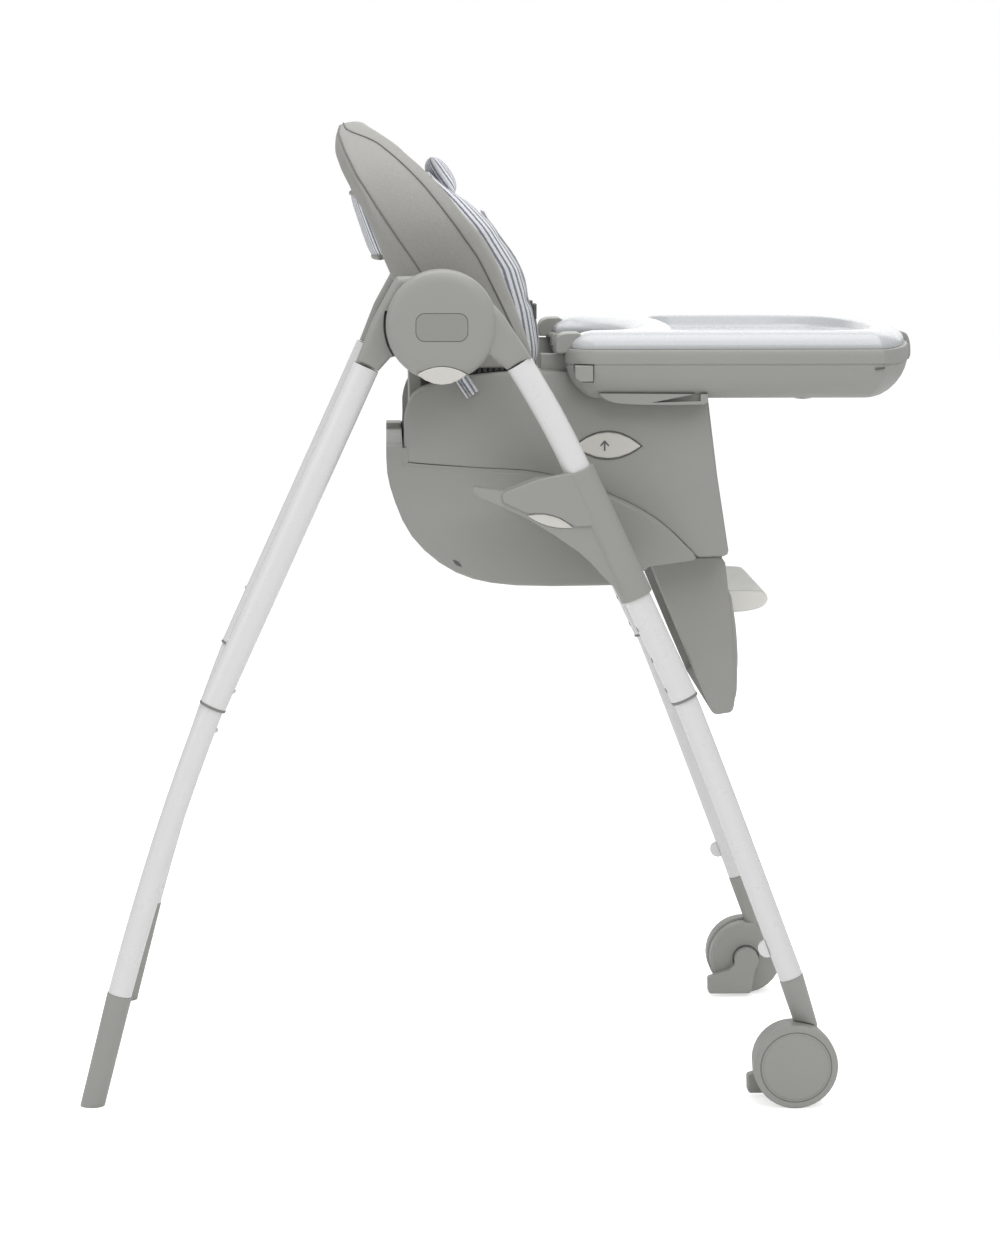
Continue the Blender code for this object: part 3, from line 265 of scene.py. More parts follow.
def tube(points, radius, sides=12):
    """A round bar along a line of points in space."""
    curve = bpy.data.curves.new("line", "CURVE")
    curve.dimensions = "3D"
    curve.bevel_depth = radius
    curve.bevel_resolution = max(sides // 4 - 1, 1)
    curve.use_fill_caps = True
    spline = curve.splines.new("POLY")
    spline.points.add(len(points) - 1)
    for corner, point in zip(spline.points, points):
        corner.co = (*point, 1)
    guide = bpy.data.objects.new("line", curve)
    bpy.context.scene.collection.objects.link(guide)
    graph = bpy.context.evaluated_depsgraph_get()
    mesh = bpy.data.meshes.new_from_object(guide.evaluated_get(graph))
    bm = bmesh.new()
    bm.from_mesh(mesh)
    bpy.data.meshes.remove(mesh)
    bpy.data.objects.remove(guide, do_unlink=True)
    bpy.data.curves.remove(curve)
    bmesh.ops.remove_doubles(bm, verts=bm.verts, dist=1e-6)
    bmesh.ops.recalc_face_normals(bm, faces=bm.faces)
    return bm


def stack(rings, close_start=True, close_end=True):
    """A wall through rings of points with as many points each, closed by a face at either end."""
    rows = [[*ring, ring[0]] for ring in rings]
    bm = skin(rows)
    bmesh.ops.remove_doubles(bm, verts=bm.verts, dist=1e-6)
    edges = [e for e in bm.edges if e.is_boundary]
    first = {tuple(round(c, 6) for c in p) for p in rings[0]}
    for wanted, keep in ((close_start, True), (close_end, False)):
        if wanted:
            loop = [e for e in edges
                    if (tuple(round(c, 6) for c in e.verts[0].co) in first) == keep]
            bmesh.ops.contextual_create(bm, geom=loop)
    bmesh.ops.recalc_face_normals(bm, faces=bm.faces)
    return bm


def turned(profile, centre, sign, steps=64):
    """A turned piece whose axis points out of one side of the chair; its profile is (radius, out)."""
    bm = bmesh.new()
    axis = Vector((centre[0], 0, centre[1]))
    points = [bm.verts.new((axis.x + r, sign * out, axis.z)) for r, out in profile]
    edges = [bm.edges.new(pair) for pair in zip(points, points[1:])]
    bmesh.ops.spin(bm, geom=points + edges, cent=axis, axis=(0, 1, 0), angle=2 * math.pi,
                   steps=steps, use_merge=True)
    bmesh.ops.remove_doubles(bm, verts=bm.verts, dist=1e-6)
    bmesh.ops.recalc_face_normals(bm, faces=bm.faces)
    return bm


def joined(*parts):
    """Several meshes as one."""
    whole = bmesh.new()
    for part in parts:
        mesh = bpy.data.meshes.new("shape")
        part.to_mesh(mesh)
        part.free()
        whole.from_mesh(mesh)
        bpy.data.meshes.remove(mesh)
    return whole


def piece(name, bm, finish, body, replaced=(), sharp=32, weighted=True):
    """Makes a mesh a piece of the chair, with its finish, riding on a body of the frame."""
    mesh = bpy.data.meshes.new(name)
    bm.to_mesh(mesh)
    bm.free()
    mesh.materials.append(bpy.data.materials[finish])
    mesh.shade_smooth()
    mesh.set_sharp_from_angle(angle=math.radians(sharp))
    obj = bpy.data.objects.new(name, mesh)
    bpy.context.scene.collection.objects.link(obj)
    if weighted:
        obj.modifiers.new("weighted", "WEIGHTED_NORMAL").keep_sharp = True
    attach(obj, body)
    if replaced:
        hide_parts(*replaced)
    return obj


def carve(obj, bm, solver="EXACT"):
    """Cuts a mesh out of a piece, for good."""
    mesh = bpy.data.meshes.new("cutter")
    bm.to_mesh(mesh)
    bm.free()
    cutter = bpy.data.objects.new("cutter", mesh)
    bpy.context.scene.collection.objects.link(cutter)
    cut = obj.modifiers.new("cut", "BOOLEAN")
    cut.object = cutter
    cut.solver = solver
    others = [m for m in obj.modifiers if m != cut]
    for other in others:
        other.show_viewport = False
    bpy.context.view_layer.update()
    graph = bpy.context.evaluated_depsgraph_get()
    result = bpy.data.meshes.new_from_object(obj.evaluated_get(graph))
    obj.modifiers.remove(cut)
    for other in others:
        other.show_viewport = True
    result.shade_smooth()
    result.set_sharp_from_angle(angle=math.radians(32))
    obj.data = result
    bpy.data.objects.remove(cutter, do_unlink=True)


def rounded(obj, levels):
    """Rounds a soft piece by subdivision."""
    soft = obj.modifiers.new("rounded", "SUBSURF")
    soft.levels = soft.render_levels = levels


def inflate(obj, pressure, most, pinned=lambda co: False, frames=16):
    """Blows a closed pad up as cloth, holding its seams, and keeps the shape it takes."""
    mesh = obj.data
    before = [v.co.copy() for v in mesh.vertices]
    seams = obj.vertex_groups.new(name="seams")
    seams.add([v.index for v in mesh.vertices if pinned(v.co)], 1.0, "REPLACE")
    cloth = obj.modifiers.new("cloth", "CLOTH")
    settings = cloth.settings
    settings.use_pressure = True
    settings.uniform_pressure_force = pressure
    settings.effector_weights.gravity = 0
    settings.vertex_group_mass = "seams"
    settings.quality = 5
    settings.tension_stiffness = settings.compression_stiffness = 25
    settings.bending_stiffness = 0.3
    cloth.collision_settings.use_collision = False
    scene = bpy.context.scene
    for step in range(1, frames + 1):
        scene.frame_set(step)
    graph = bpy.context.evaluated_depsgraph_get()
    after = [v.co.copy() for v in obj.evaluated_get(graph).data.vertices]
    obj.modifiers.remove(cloth)
    obj.vertex_groups.remove(seams)
    scene.frame_set(1)
    if len(after) != len(before):
        raise RuntimeError(f"{obj.name}: the cloth lost its points")
    for vert, old, new in zip(mesh.vertices, before, after):
        move = new - old
        if move.length > most:
            move *= most / move.length
        vert.co = old + move


def surface_of(obj):
    """A piece's mesh as a tree that rays can be cast at."""
    bm = bmesh.new()
    bm.from_mesh(obj.data)
    tree = BVHTree.FromBMesh(bm)
    bm.free()
    return tree


# ---------------------------------------------------------------- shader groups
def new_group(name, inputs, outputs):
    group = bpy.data.node_groups.new(name, "ShaderNodeTree")
    for kind, sockets in (("INPUT", inputs), ("OUTPUT", outputs)):
        for label, socket, *default in sockets:
            made = group.interface.new_socket(label, in_out=kind, socket_type=f"NodeSocket{socket}")
            if default:
                made.default_value = default[0]
    return group


def node(tree, kind, settings=None, **links):
    """Adds a node. A link is a socket or a plain value, for the input of that name or number."""
    made = tree.nodes.new(f"ShaderNode{kind}")
    for key, value in (settings or {}).items():
        setattr(made, key, value)
    for key, value in links.items():
        label = int(key[1:]) if key[0] == "_" else key.replace("_", " ")
        socket = made.inputs[label]
        if isinstance(value, bpy.types.NodeSocket):
            tree.links.new(value, socket)
        else:
            socket.default_value = value
    return made


def math_node(tree, operation, *values):
    return node(tree, "Math", {"operation": operation},
                **{f"_{i}": value for i, value in enumerate(values)}).outputs[0]


def ends_of(group):
    return group.nodes.new("NodeGroupInput").outputs, group.nodes.new("NodeGroupOutput").inputs


def moulded_group():
    """Fine spark-eroded grain and a slow change of tone over a moulding."""
    group = new_group("moulded grain", [("Vector", "Vector"), ("Grain size", "Float", 0.0009)],
                      [("Height", "Float"), ("Tone", "Float"), ("Gloss", "Float")])
    given, out = ends_of(group)
    scale = math_node(group, "DIVIDE", 1.0, given["Grain size"])
    grain = node(group, "TexNoise", Vector=given["Vector"], Scale=scale, Detail=3.0, Roughness=0.6)
    slow = node(group, "TexNoise", Vector=given["Vector"], Scale=7.0, Detail=2.0)
    smear = node(group, "TexNoise", Vector=given["Vector"], Scale=45.0, Detail=4.0, Roughness=0.65)
    group.links.new(grain.outputs["Fac"], out["Height"])
    group.links.new(slow.outputs["Fac"], out["Tone"])
    group.links.new(smear.outputs["Fac"], out["Gloss"])
    return group


def leather_group():
    """Pebbled grain of leatherette: small cells parted by creases, with a soft crumple, and a crease
    mask for painted shade.
    """
    group = new_group("leatherette grain", [("Vector", "Vector"), ("Pebble size", "Float", 0.0016)],
                      [("Height", "Float"), ("Crease", "Float"), ("Tone", "Float")])
    given, out = ends_of(group)
    scale = math_node(group, "DIVIDE", 1.0, given["Pebble size"])
    bend = node(group, "TexNoise", Vector=given["Vector"], Scale=260.0, Detail=2.0)
    warp = node(group, "VectorMath", {"operation": "SCALE"}, _0=bend.outputs["Color"], Scale=0.0007)
    bent = node(group, "VectorMath", {"operation": "ADD"}, _0=given["Vector"], _1=warp.outputs[0])
    cells = node(group, "TexVoronoi", {"feature": "DISTANCE_TO_EDGE"}, Vector=bent.outputs[0],
                 Scale=scale)
    crease = node(group, "MapRange", {"interpolation_type": "SMOOTHSTEP"},
                  Value=cells.outputs["Distance"], From_Min=0.0, From_Max=0.22)
    crumple = node(group, "TexNoise", Vector=given["Vector"], Scale=38.0, Detail=3.0)
    low = math_node(group, "MULTIPLY", crumple.outputs["Fac"], 1.6)
    tone = node(group, "TexNoise", Vector=given["Vector"], Scale=9.0, Detail=2.0)
    group.links.new(math_node(group, "ADD", crease.outputs[0], low), out["Height"])
    # The crease mask goes out on its own as well, for painted shade in the creases.
    group.links.new(crease.outputs[0], out["Crease"])
    group.links.new(tone.outputs["Fac"], out["Tone"])
    return group


def weave_group():
    """Plain weave: warp and weft threads that pass over and under each other."""
    group = new_group("plain weave", [("Vector", "Vector"), ("Thread", "Float", 0.0008)],
                      [("Height", "Float"), ("Slub", "Float")])
    given, out = ends_of(group)
    parts = node(group, "SeparateXYZ", Vector=given["Vector"])
    turns = math_node(group, "DIVIDE", math.pi, given["Thread"])
    waves = [math_node(group, "SINE", math_node(group, "MULTIPLY", parts.outputs[i], turns))
             for i in (0, 1)]
    over = math_node(group, "MULTIPLY", *waves)
    ribs = math_node(group, "ADD", *(math_node(group, "ABSOLUTE", wave) for wave in waves))
    slub = node(group, "TexNoise", Vector=given["Vector"], Scale=420.0, Detail=2.0)
    whole = math_node(group, "ADD", math_node(group, "MULTIPLY", over, 0.6), ribs)
    group.links.new(math_node(group, "ADD", whole, slub.outputs["Fac"]), out["Height"])
    group.links.new(slub.outputs["Fac"], out["Slub"])
    return group


def stripe_group():
    """Thin lines along the cloth: 1 on a line, 0 on the ground, a little uneven as print is."""
    group = new_group("printed stripes",
                      [("Vector", "Vector"), ("Pitch", "Float", 0.0068), ("Share", "Float", 0.36)],
                      [("Line", "Float")])
    given, out = ends_of(group)
    across = node(group, "SeparateXYZ", Vector=given["Vector"]).outputs[0]
    place = math_node(group, "FRACT", math_node(group, "DIVIDE", across, given["Pitch"]))
    apart = math_node(group, "ABSOLUTE", math_node(group, "SUBTRACT", place, 0.5))
    rough = node(group, "TexNoise", Vector=given["Vector"], Scale=900.0, Detail=1.0)
    half = math_node(group, "MULTIPLY", given["Share"], rough.outputs["Fac"])
    edge = math_node(group, "ADD", half, 0.04)
    line = node(group, "MapRange", Value=apart, From_Min=half, From_Max=edge, To_Min=1.0,
                To_Max=0.0)
    group.links.new(line.outputs[0], out["Line"])
    return group


def new_material(name, base, roughness, metallic=0.0, coat=0.0, sheen=0.0, specular=0.5):
    """A plain material under a name of its own; a frame material of that name steps aside."""
    if name in bpy.data.materials:
        bpy.data.materials[name].name = f"plain {name}"
    made = bpy.data.materials.new(name)
    made.use_nodes = True
    tree = made.node_tree
    shader = tree.nodes["Principled BSDF"]
    shader.inputs["Base Color"].default_value = (*base, 1)
    shader.inputs["Roughness"].default_value = roughness
    shader.inputs["Metallic"].default_value = metallic
    shader.inputs["Coat Weight"].default_value = coat
    shader.inputs["Coat Roughness"].default_value = 0.25
    shader.inputs["Sheen Weight"].default_value = sheen
    shader.inputs["Sheen Roughness"].default_value = 0.4
    shader.inputs["Specular IOR Level"].default_value = specular
    return tree, shader, tree.nodes.new("ShaderNodeTexCoord")


def placed(tree, group, vector, **values):
    """Puts one of the shader groups into a material and returns its outputs."""
    made = tree.nodes.new("ShaderNodeGroup")
    made.node_tree = bpy.data.node_groups[group]
    tree.links.new(vector, made.inputs["Vector"])
    for key, value in values.items():
        made.inputs[key.replace("_", " ")].default_value = value
    return made.outputs


def tinted(tree, base, tone, spread):
    """The base colour, lighter and darker by the spread as the tone goes from 0 to 1."""
    dark = tuple(c * (1 - spread) for c in base)
    light = tuple(min(c * (1 + spread), 1) for c in base)
    mix = node(tree, "Mix", {"data_type": "RGBA"}, _0=tone, _6=(*dark, 1), _7=(*light, 1))
    return mix.outputs[2]


def bumped(tree, shader, height, strength, distance):
    bump = node(tree, "Bump", Height=height, Strength=strength, Distance=distance)
    tree.links.new(bump.outputs[0], shader.inputs["Normal"])


def moulded(name, base, roughness, grain=0.0009, strength=0.12, spread=0.035, coat=0.0,
            metallic=0.0):
    """A hard plastic, enamel or metal, with its fine grain and handled gloss."""
    tree, shader, coordinates = new_material(name, base, roughness, metallic, coat)
    made = placed(tree, "moulded grain", coordinates.outputs["Object"], Grain_size=grain)
    tree.links.new(tinted(tree, base, made["Tone"], spread), shader.inputs["Base Color"])
    gloss = node(tree, "MapRange", Value=made["Gloss"], From_Min=0.3, From_Max=0.7,
                 To_Min=roughness - 0.06, To_Max=roughness + 0.06)
    tree.links.new(gloss.outputs[0], shader.inputs["Roughness"])
    bumped(tree, shader, made["Height"], strength, 0.00025)


def leathered(name, base):
    """Leatherette, with painted shade darkening the creases between its pebbles."""
    tree, shader, coordinates = new_material(name, base, 0.52, sheen=0.08, specular=0.42)
    made = placed(tree, "leatherette grain", coordinates.outputs["Object"], Pebble_size=0.0015)
    toned = tinted(tree, base, made["Tone"], 0.05)
    # Painted shade: the colour is darkened in the creases between the pebbles.
    crease_shaded = node(tree, "Mix", {"data_type": "RGBA", "blend_type": "MULTIPLY"}, _0=0.15,
                   _6=toned, _7=made["Crease"])
    tree.links.new(crease_shaded.outputs[2], shader.inputs["Base Color"])
    bumped(tree, shader, made["Height"], 0.12, 0.00025)


def woven(name, base, thread, stripe=None, pitch=0.0068, share=0.36):
    """Woven cloth, with printed stripes where it has a stripe colour."""
    tree, shader, coordinates = new_material(name, base, 0.86, sheen=0.25, specular=0.25)
    vector = coordinates.outputs["UV"]
    made = placed(tree, "plain weave", vector, Thread=thread)
    ground = tinted(tree, base, made["Slub"], 0.10)
    if stripe is not None:
        line = placed(tree, "printed stripes", vector, Pitch=pitch, Share=share)["Line"]
        printed = node(tree, "Mix", {"data_type": "RGBA"}, _0=line, _6=ground, _7=(*stripe, 1))
        ground = printed.outputs[2]
    tree.links.new(ground, shader.inputs["Base Color"])
    bumped(tree, shader, made["Height"], 0.35, 0.0002)


# ---------------------------------------------------------------- kept nodes
def smoothing_nodes():
    """Joins a kept mesh's loose triangles for shading, and keeps its true edges crisp."""
    group = bpy.data.node_groups.new("smooth shading", "GeometryNodeTree")
    group.interface.new_socket("Geometry", in_out="INPUT", socket_type="NodeSocketGeometry")
    group.interface.new_socket("Geometry", in_out="OUTPUT", socket_type="NodeSocketGeometry")
    group.is_modifier = True
    start, end = group.nodes.new("NodeGroupInput"), group.nodes.new("NodeGroupOutput")
    weld = group.nodes.new("GeometryNodeMergeByDistance")
    weld.inputs["Distance"].default_value = 1e-5
    plain = group.nodes.new("GeometryNodeRemoveAttribute")
    plain.inputs["Name"].default_value = "custom_normal"
    soft = group.nodes.new("GeometryNodeSetShadeSmooth")
    crisp = group.nodes.new("GeometryNodeSetShadeSmooth")
    crisp.domain = "EDGE"
    crisp.inputs["Shade Smooth"].default_value = False
    angle = group.nodes.new("GeometryNodeInputMeshEdgeAngle")
    compare = group.nodes.new("FunctionNodeCompare")
    compare.operation = "GREATER_THAN"
    compare.inputs[1].default_value = math.radians(28)
    links = group.links
    links.new(start.outputs[0], weld.inputs[0])
    links.new(weld.outputs[0], plain.inputs[0])
    links.new(plain.outputs[0], soft.inputs[0])
    links.new(soft.outputs[0], crisp.inputs[0])
    links.new(angle.outputs["Unsigned Angle"], compare.inputs[0])
    links.new(compare.outputs[0], crisp.inputs["Selection"])
    links.new(crisp.outputs[0], end.inputs[0])
    return group


KEPT = {
    "grey_plastic": ["rear_foot_*", "castor_housing_*", "wheel_?", "brake_pedal_*",
                     "height_carriage_*", "seat_upper_shell", "tray_button_*", "tray_release",
                     "backrest_shell"],
    "dark_plastic": ["buckle_button"],
    "collar_plastic": ["front_collar_*", "rear_collar_*"],
    "white_tube": ["front_upper_tube_*", "front_lower_tube_*", "rear_upper_tube_*",
                   "rear_lower_tube_*", "front_crossbar", "rear_crossbar", "castor_bracket_*"],
    "pale_plastic": ["fold_button_*", "seat_release_*", "height_button_*", "harness_buckle"],
    "steel": ["hub_pivot_*", "wheel_axle_*"],
}


def dress(name, finish, group):
    """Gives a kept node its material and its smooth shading."""
    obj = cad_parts[name]
    obj.data.materials.clear()
    obj.data.materials.append(bpy.data.materials[finish])
    obj.modifiers.new("shading", "NODES").node_group = group


def names_like(pattern):
    """Node names for a pattern that ends in _* or _? for both sides of the chair."""
    if pattern[-2:] in ("_*", "_?"):
        return [pattern[:-1] + side for side, _ in SIDES]
    return [pattern]


# ---------------------------------------------------------------- operators
class HIGHCHAIR_OT_materials(bpy.types.Operator):
    """Makes the plastics, the enamel, the leatherette and the fabrics"""

    bl_idname = "high_chair.materials"
    bl_label = "Materials"

    def execute(self, context):
        hues = context.scene.high_chair_colours
        sizes = context.scene.high_chair_sizes
        moulded_group()
        leather_group()
        weave_group()
        stripe_group()
        moulded("grey_plastic", tuple(hues.shell), 0.46)
        moulded("badge_plastic", tuple(c * 0.90 for c in hues.shell), 0.36, strength=0.05)
        moulded("dark_plastic", tuple(hues.joint), 0.5)
        moulded("collar_plastic", tuple(c * 2.1 for c in hues.joint), 0.5)
        moulded("white_tube", tuple(hues.tube), 0.30, grain=0.012, strength=0.015, spread=0.008,
                coat=0.4)
        moulded("pale_plastic", tuple(hues.button), 0.36, strength=0.06)
        # The tray colour is white plastic, darkened as painted shade for the insert's dish.
        moulded("tray_white", tuple(hues.tray), 0.27, grain=0.012, strength=0.015, spread=0.008,
                coat=0.25)
        moulded("footrest_cream", tuple(hues.step), 0.42, strength=0.08)
        moulded("steel", (0.55, 0.55, 0.56), 0.3, grain=0.0015, strength=0.1, metallic=1.0)
        leathered("leatherette", tuple(hues.leather))
        leathered("piping", tuple(c * 0.50 for c in hues.leather))
        woven("striped_fabric", tuple(hues.cloth), 0.0009, tuple(hues.stripe), sizes.stripe)
        woven("webbing", tuple(hues.web), 0.0016)
        return {"FINISHED"}


class HIGHCHAIR_OT_kept(bpy.types.Operator):
    """Gives the rigid parts of the frame their materials and smooth shading"""

    bl_idname = "high_chair.kept"
    bl_label = "Frame parts"

    def execute(self, context):
        group = smoothing_nodes()
        for finish, patterns in KEPT.items():
            for name in [n for pattern in patterns for n in names_like(pattern)]:
                dress(name, finish, group)
        dress("calf_rest", "grey_plastic", group)
        return {"FINISHED"}


def front_leg_point(distance, aside=0.0):
    """A point in (x, z) up the front leg from its joint, and forwards of its axis."""
    return FRONT_JOINT + distance * FRONT_UP + aside * Vector((FRONT_UP.y, -FRONT_UP.x))


def button_stud(centre, towards, y, radius, height):
    """A domed stud that stands out of a tube, seen from the side."""
    base = Vector((centre[0], y, centre[1]))
    out = Vector((towards[0], 0, towards[1])).normalized()
    bm = bmesh.new()
    bmesh.ops.create_uvsphere(bm, u_segments=16, v_segments=8, radius=radius)
    turn = out.to_track_quat("Z", "Y").to_matrix().to_4x4()
    shape = Matrix.Translation(base) @ turn @ Matrix.Diagonal((1, 1, height / radius, 1))
    bmesh.ops.transform(bm, matrix=shape, verts=bm.verts)
    return bm


class HIGHCHAIR_OT_hubs(bpy.types.Operator):
    """Makes the two folding hubs: a domed front disc over a rear disc, with a socket for each leg"""

    bl_idname = "high_chair.hubs"
    bl_label = "Hubs"

    def execute(self, context):
        def badge(half_width, half_height, corner):
            return [(HUB.x + x, HUB.y - 0.0015 + z)
                    for x, z in rounded_plate(half_width, half_height, corner)]

        front_socket = [(0.0262, 0.8063), (-0.0020, 0.8490), (-0.0200, 0.8690), (-0.0670, 0.8700),
                        (-0.0670, 0.8150), (-0.0200, 0.8105), (0.0008, 0.7937)]
        rear_socket = [(-0.1331, 0.7905), (-0.1200, 0.8050), (-0.0800, 0.8100), (-0.0800, 0.8900),
                       (-0.1130, 0.8890), (-0.1185, 0.8813), (-0.1390, 0.8440), (-0.1560, 0.8012)]
        face, split = HUB_FACE + 0.0004, HUB_SPLIT
        inner = split - 0.0321
        for side, sign in SIDES:
            dome = [(0.0, face), (0.030, face - 0.0001), (0.044, face - 0.0006), (0.0505, face - 0.0017),
                    (0.0545, face - 0.0038), (0.0568, face - 0.0068), (0.0578, face - 0.0110),
                    (0.0580, split + 0.0012), (0.0576, split + 0.0006), (0.0, split + 0.0006)]
            disc = piece(f"hub_front_disc_{side}", turned(dome, HUB, sign, 96), "grey_plastic",
                         "front_frame", [f"hub_housing_{side}"], sharp=50)
            lens = leaf((HUB.x + 0.0003, HUB.y - 0.050), 0.0266, 0.0086, 0.0111)
            carve(disc, on_side(lens, sign, HUB_FACE - 0.027, HUB_FACE + 0.01))
            carve(disc, on_side(badge(0.0272, 0.0147, 0.0095), sign, HUB_FACE - 0.0012,
                                HUB_FACE + 0.01))
            piece(f"hub_plate_{side}",
                  on_side(badge(0.0266, 0.0141, 0.0089), sign, HUB_FACE - 0.0010,
                          HUB_FACE + 0.0006, 0.0004, 2),
                  "badge_plastic", "front_frame", [f"hub_badge_{side}"])
            piece(f"hub_front_socket_{side}",
                  on_side(front_socket, sign, split + 0.0012, FRONT_LEG_Y + 0.0150, 0.0075, 5),
                  "grey_plastic", "front_frame", sharp=50)
            back = [(0.0, inner), (0.0520, inner), (0.0548, inner + 0.0012), (0.0556, inner + 0.0040),
                    (0.0556, split - 0.0016), (0.0552, split - 0.0007), (0.0, split - 0.0007)]
            piece(f"hub_rear_disc_{side}", turned(back, HUB, sign, 96), "grey_plastic", "rear_frame",
                  [f"rear_hub_disc_{side}"], sharp=50)
            socket = piece(f"hub_rear_socket_{side}",
                           on_side(rear_socket, sign, REAR_LEG_Y - 0.0157,
                                   REAR_LEG_Y + 0.0150, 0.0075, 5),
                           "grey_plastic", "rear_frame", sharp=50)
            groove = arc(HUB, 0.0568, 166, 222, 16) + arc(HUB, 0.0606, 222, 166, 16)
            carve(socket, on_side(groove, sign, REAR_LEG_Y, REAR_LEG_Y + 0.03))
        return {"FINISHED"}


class HIGHCHAIR_OT_legs(bpy.types.Operator):
    """Adds the spring studs and the stop holes of the legs"""

    bl_idname = "high_chair.legs"
    bl_label = "Leg details"

    def execute(self, context):
        stud = context.scene.high_chair_sizes.stud
        slope = (REAR_TOP - REAR_JOINT).normalized()
        back = Vector((-slope.y, slope.x))
        front = -back
        proud, sunk = 0.0138, 0.01395
        for side, sign in SIDES:
            studs = []
            for height, way in ((0.024, front), (-0.022, front), (0.071, back)):
                place = REAR_JOINT + slope * height + way * proud
                studs.append(button_stud(place, way, sign * REAR_LEG_Y, stud, 0.0022))
            piece(f"rear_studs_{side}", joined(*studs), "pale_plastic", "rear_frame")
            # Painted shade: each stop hole is a shallow dark disc on the tube, standing in for the shade
            # inside an open hole.
            holes = []
            for height in (0.088, 0.052, 0.016):
                place = front_leg_point(height, -sunk)
                holes.append(button_stud(place, (-FRONT_UP.y, FRONT_UP.x), sign * FRONT_LEG_Y,
                                         0.0036, 0.0005))
            piece(f"front_stop_holes_{side}", joined(*holes), "dark_plastic", "front_frame")
        return {"FINISHED"}


class HIGHCHAIR_OT_castors(bpy.types.Operator):
    """Adds the castors' screws and the wheels' hub caps"""

    bl_idname = "high_chair.castors"
    bl_label = "Castor details"

    def execute(self, context):
        face, back = 0.2734, 0.2700
        cap = [(0.0, face), (0.0335, face), (0.0350, face - 0.0005), (0.0358, face - 0.0016),
               (0.0358, back), (0.0, back)]
        head, root = 0.2280, 0.2310
        screw = [(0.0, head), (0.0036, head), (0.0042, head + 0.0008), (0.0042, root), (0.0, root)]
        for side, sign in SIDES:
            piece(f"wheel_cap_{side}", turned(cap, CASTOR, sign, 72), "grey_plastic", f"wheel_{side}")
            piece(f"castor_screw_{side}", turned(screw, CASTOR, sign, 24), "steel", "front_frame")
        return {"FINISHED"}


# ---------------------------------------------------------------- back
def bolster_section(height, thickness):
    """A ring of (forwards, inwards) points round the bolster, from its outer rear corner."""
    rear, front = at(BACK_REAR, height), at(BOLSTER_FRONT, height)
    depth = front - rear
    seams = at(REAR_SEAM, height), at(FRONT_SEAM, height)
    corner = min(0.016, 0.40 * depth)

    def gap(near, radius):
        """How far a rounded corner falls short of the side, at a distance from its end."""
        if near >= radius:
            return 0.0
        return radius - math.sqrt(max(radius ** 2 - (radius - near) ** 2, 0))

    shares = [0.0]
    for low, high, count in ((0.0, seams[0], 3), (seams[0], seams[1], 9), (seams[1], 1.0, 5)):
        shares += [low + (high - low) * i / count for i in range(1, count + 1)]
    ring = []
    for share in shares:
        x = share * depth
        crown = 0.0035 * math.sin(math.pi * share)
        ring.append((rear + x, gap(depth - x, corner) + gap(x, 0.006) - crown))
    for i in range(1, 7):
        d = corner + (thickness - 2 * corner) * i / 7
        ring.append((front + 0.0015 * math.sin(math.pi * i / 7), d))
    for angle in (0, 30, 60, 90):
        a = math.radians(angle)
        ring.append((front - corner + corner * math.cos(a),
                     thickness - corner + corner * math.sin(a)))
    end = rear + 0.0150
    for i in range(1, 7):
        ring.append((front - corner + (end - front + corner) * i / 6, thickness))
    ledge = 0.026
    for i in range(1, 5):
        ring.append((rear + 0.0135, thickness + (ledge + 0.004 - thickness) * i / 4))
    ring += [(rear + 0.004, ledge), (rear + 0.0005, 0.020), (rear, 0.012)]
    return ring


def bolster_path(steps_up=14, steps_round=34):
    """(outer y, outer z, inward direction in y and z) round the horseshoe, right side first."""
    path = []
    low = 0.7912
    for i in range(steps_up):
        path.append((-BACK_HALF, low + (PANEL_TOP - low) * i / steps_up, 1.0, 0.0))
    rise = BACK_TOP - 0.0005 - PANEL_TOP
    for i in range(steps_round + 1):
        a = math.pi * i / steps_round
        normal = Vector((math.cos(a) / BACK_HALF, math.sin(a) / rise)).normalized()
        path.append((-BACK_HALF * math.cos(a), PANEL_TOP + rise * math.sin(a), normal.x, -normal.y))
    for i in range(steps_up - 1, -1, -1):
        path.append((BACK_HALF, low + (PANEL_TOP - low) * i / steps_up, -1.0, 0.0))
    return path


class HIGHCHAIR_OT_back_cover(bpy.types.Operator):
    """Makes the padded horseshoe of the back, with its piped seams"""

    bl_idname = "high_chair.back_cover"
    bl_label = "Back cover"

    def execute(self, context):
        sizes = context.scene.high_chair_sizes
        rows, seam_lines = [], ([], [])
        for y, z, inward_y, inward_z in bolster_path():
            share = max(min((z - PANEL_TOP) / (BACK_TOP - PANEL_TOP), 1), 0)
            thickness = sizes.bolster - 0.012 * share
            section = bolster_section(z, thickness)
            ring = [Vector((x, y + inward_y * d, z + inward_z * d)) for x, d in section]
            rows.append(ring + [ring[0]])
            for line, index in zip(seam_lines, (3, 12)):
                line.append(ring[index])
        ends = []
        for row in (rows[0], rows[-1]):
            middle = sum(row[:-1], Vector()) / (len(row) - 1)
            ends.append([[middle + (p - middle) * k - Vector((0, 0, 0.002 * (1 - k))) for p in row]
                         for k in (0.0, 0.5, 0.9)])
        rows = ends[0] + rows + list(reversed(ends[1]))
        cover = piece("back_cover", skin(rows, closed=True), "leatherette", "backrest",
                      ["backrest_cover"], sharp=80, weighted=False)
        held = [p for line in seam_lines for p in line]
        tree = KDTree(len(held))
        for i, p in enumerate(held):
            tree.insert(p, i)
        tree.balance()

        def pinned(co):
            return tree.find(co)[2] < 0.0008 or co.z < 0.800

        inflate(cover, 5.0, 0.006, pinned)
        rounded(cover, 2)
        cords = [tube(smooth(line, 2), sizes.piping) for line in seam_lines]
        piece("back_piping", joined(*cords), "piping", "backrest", weighted=False)
        return {"FINISHED"}


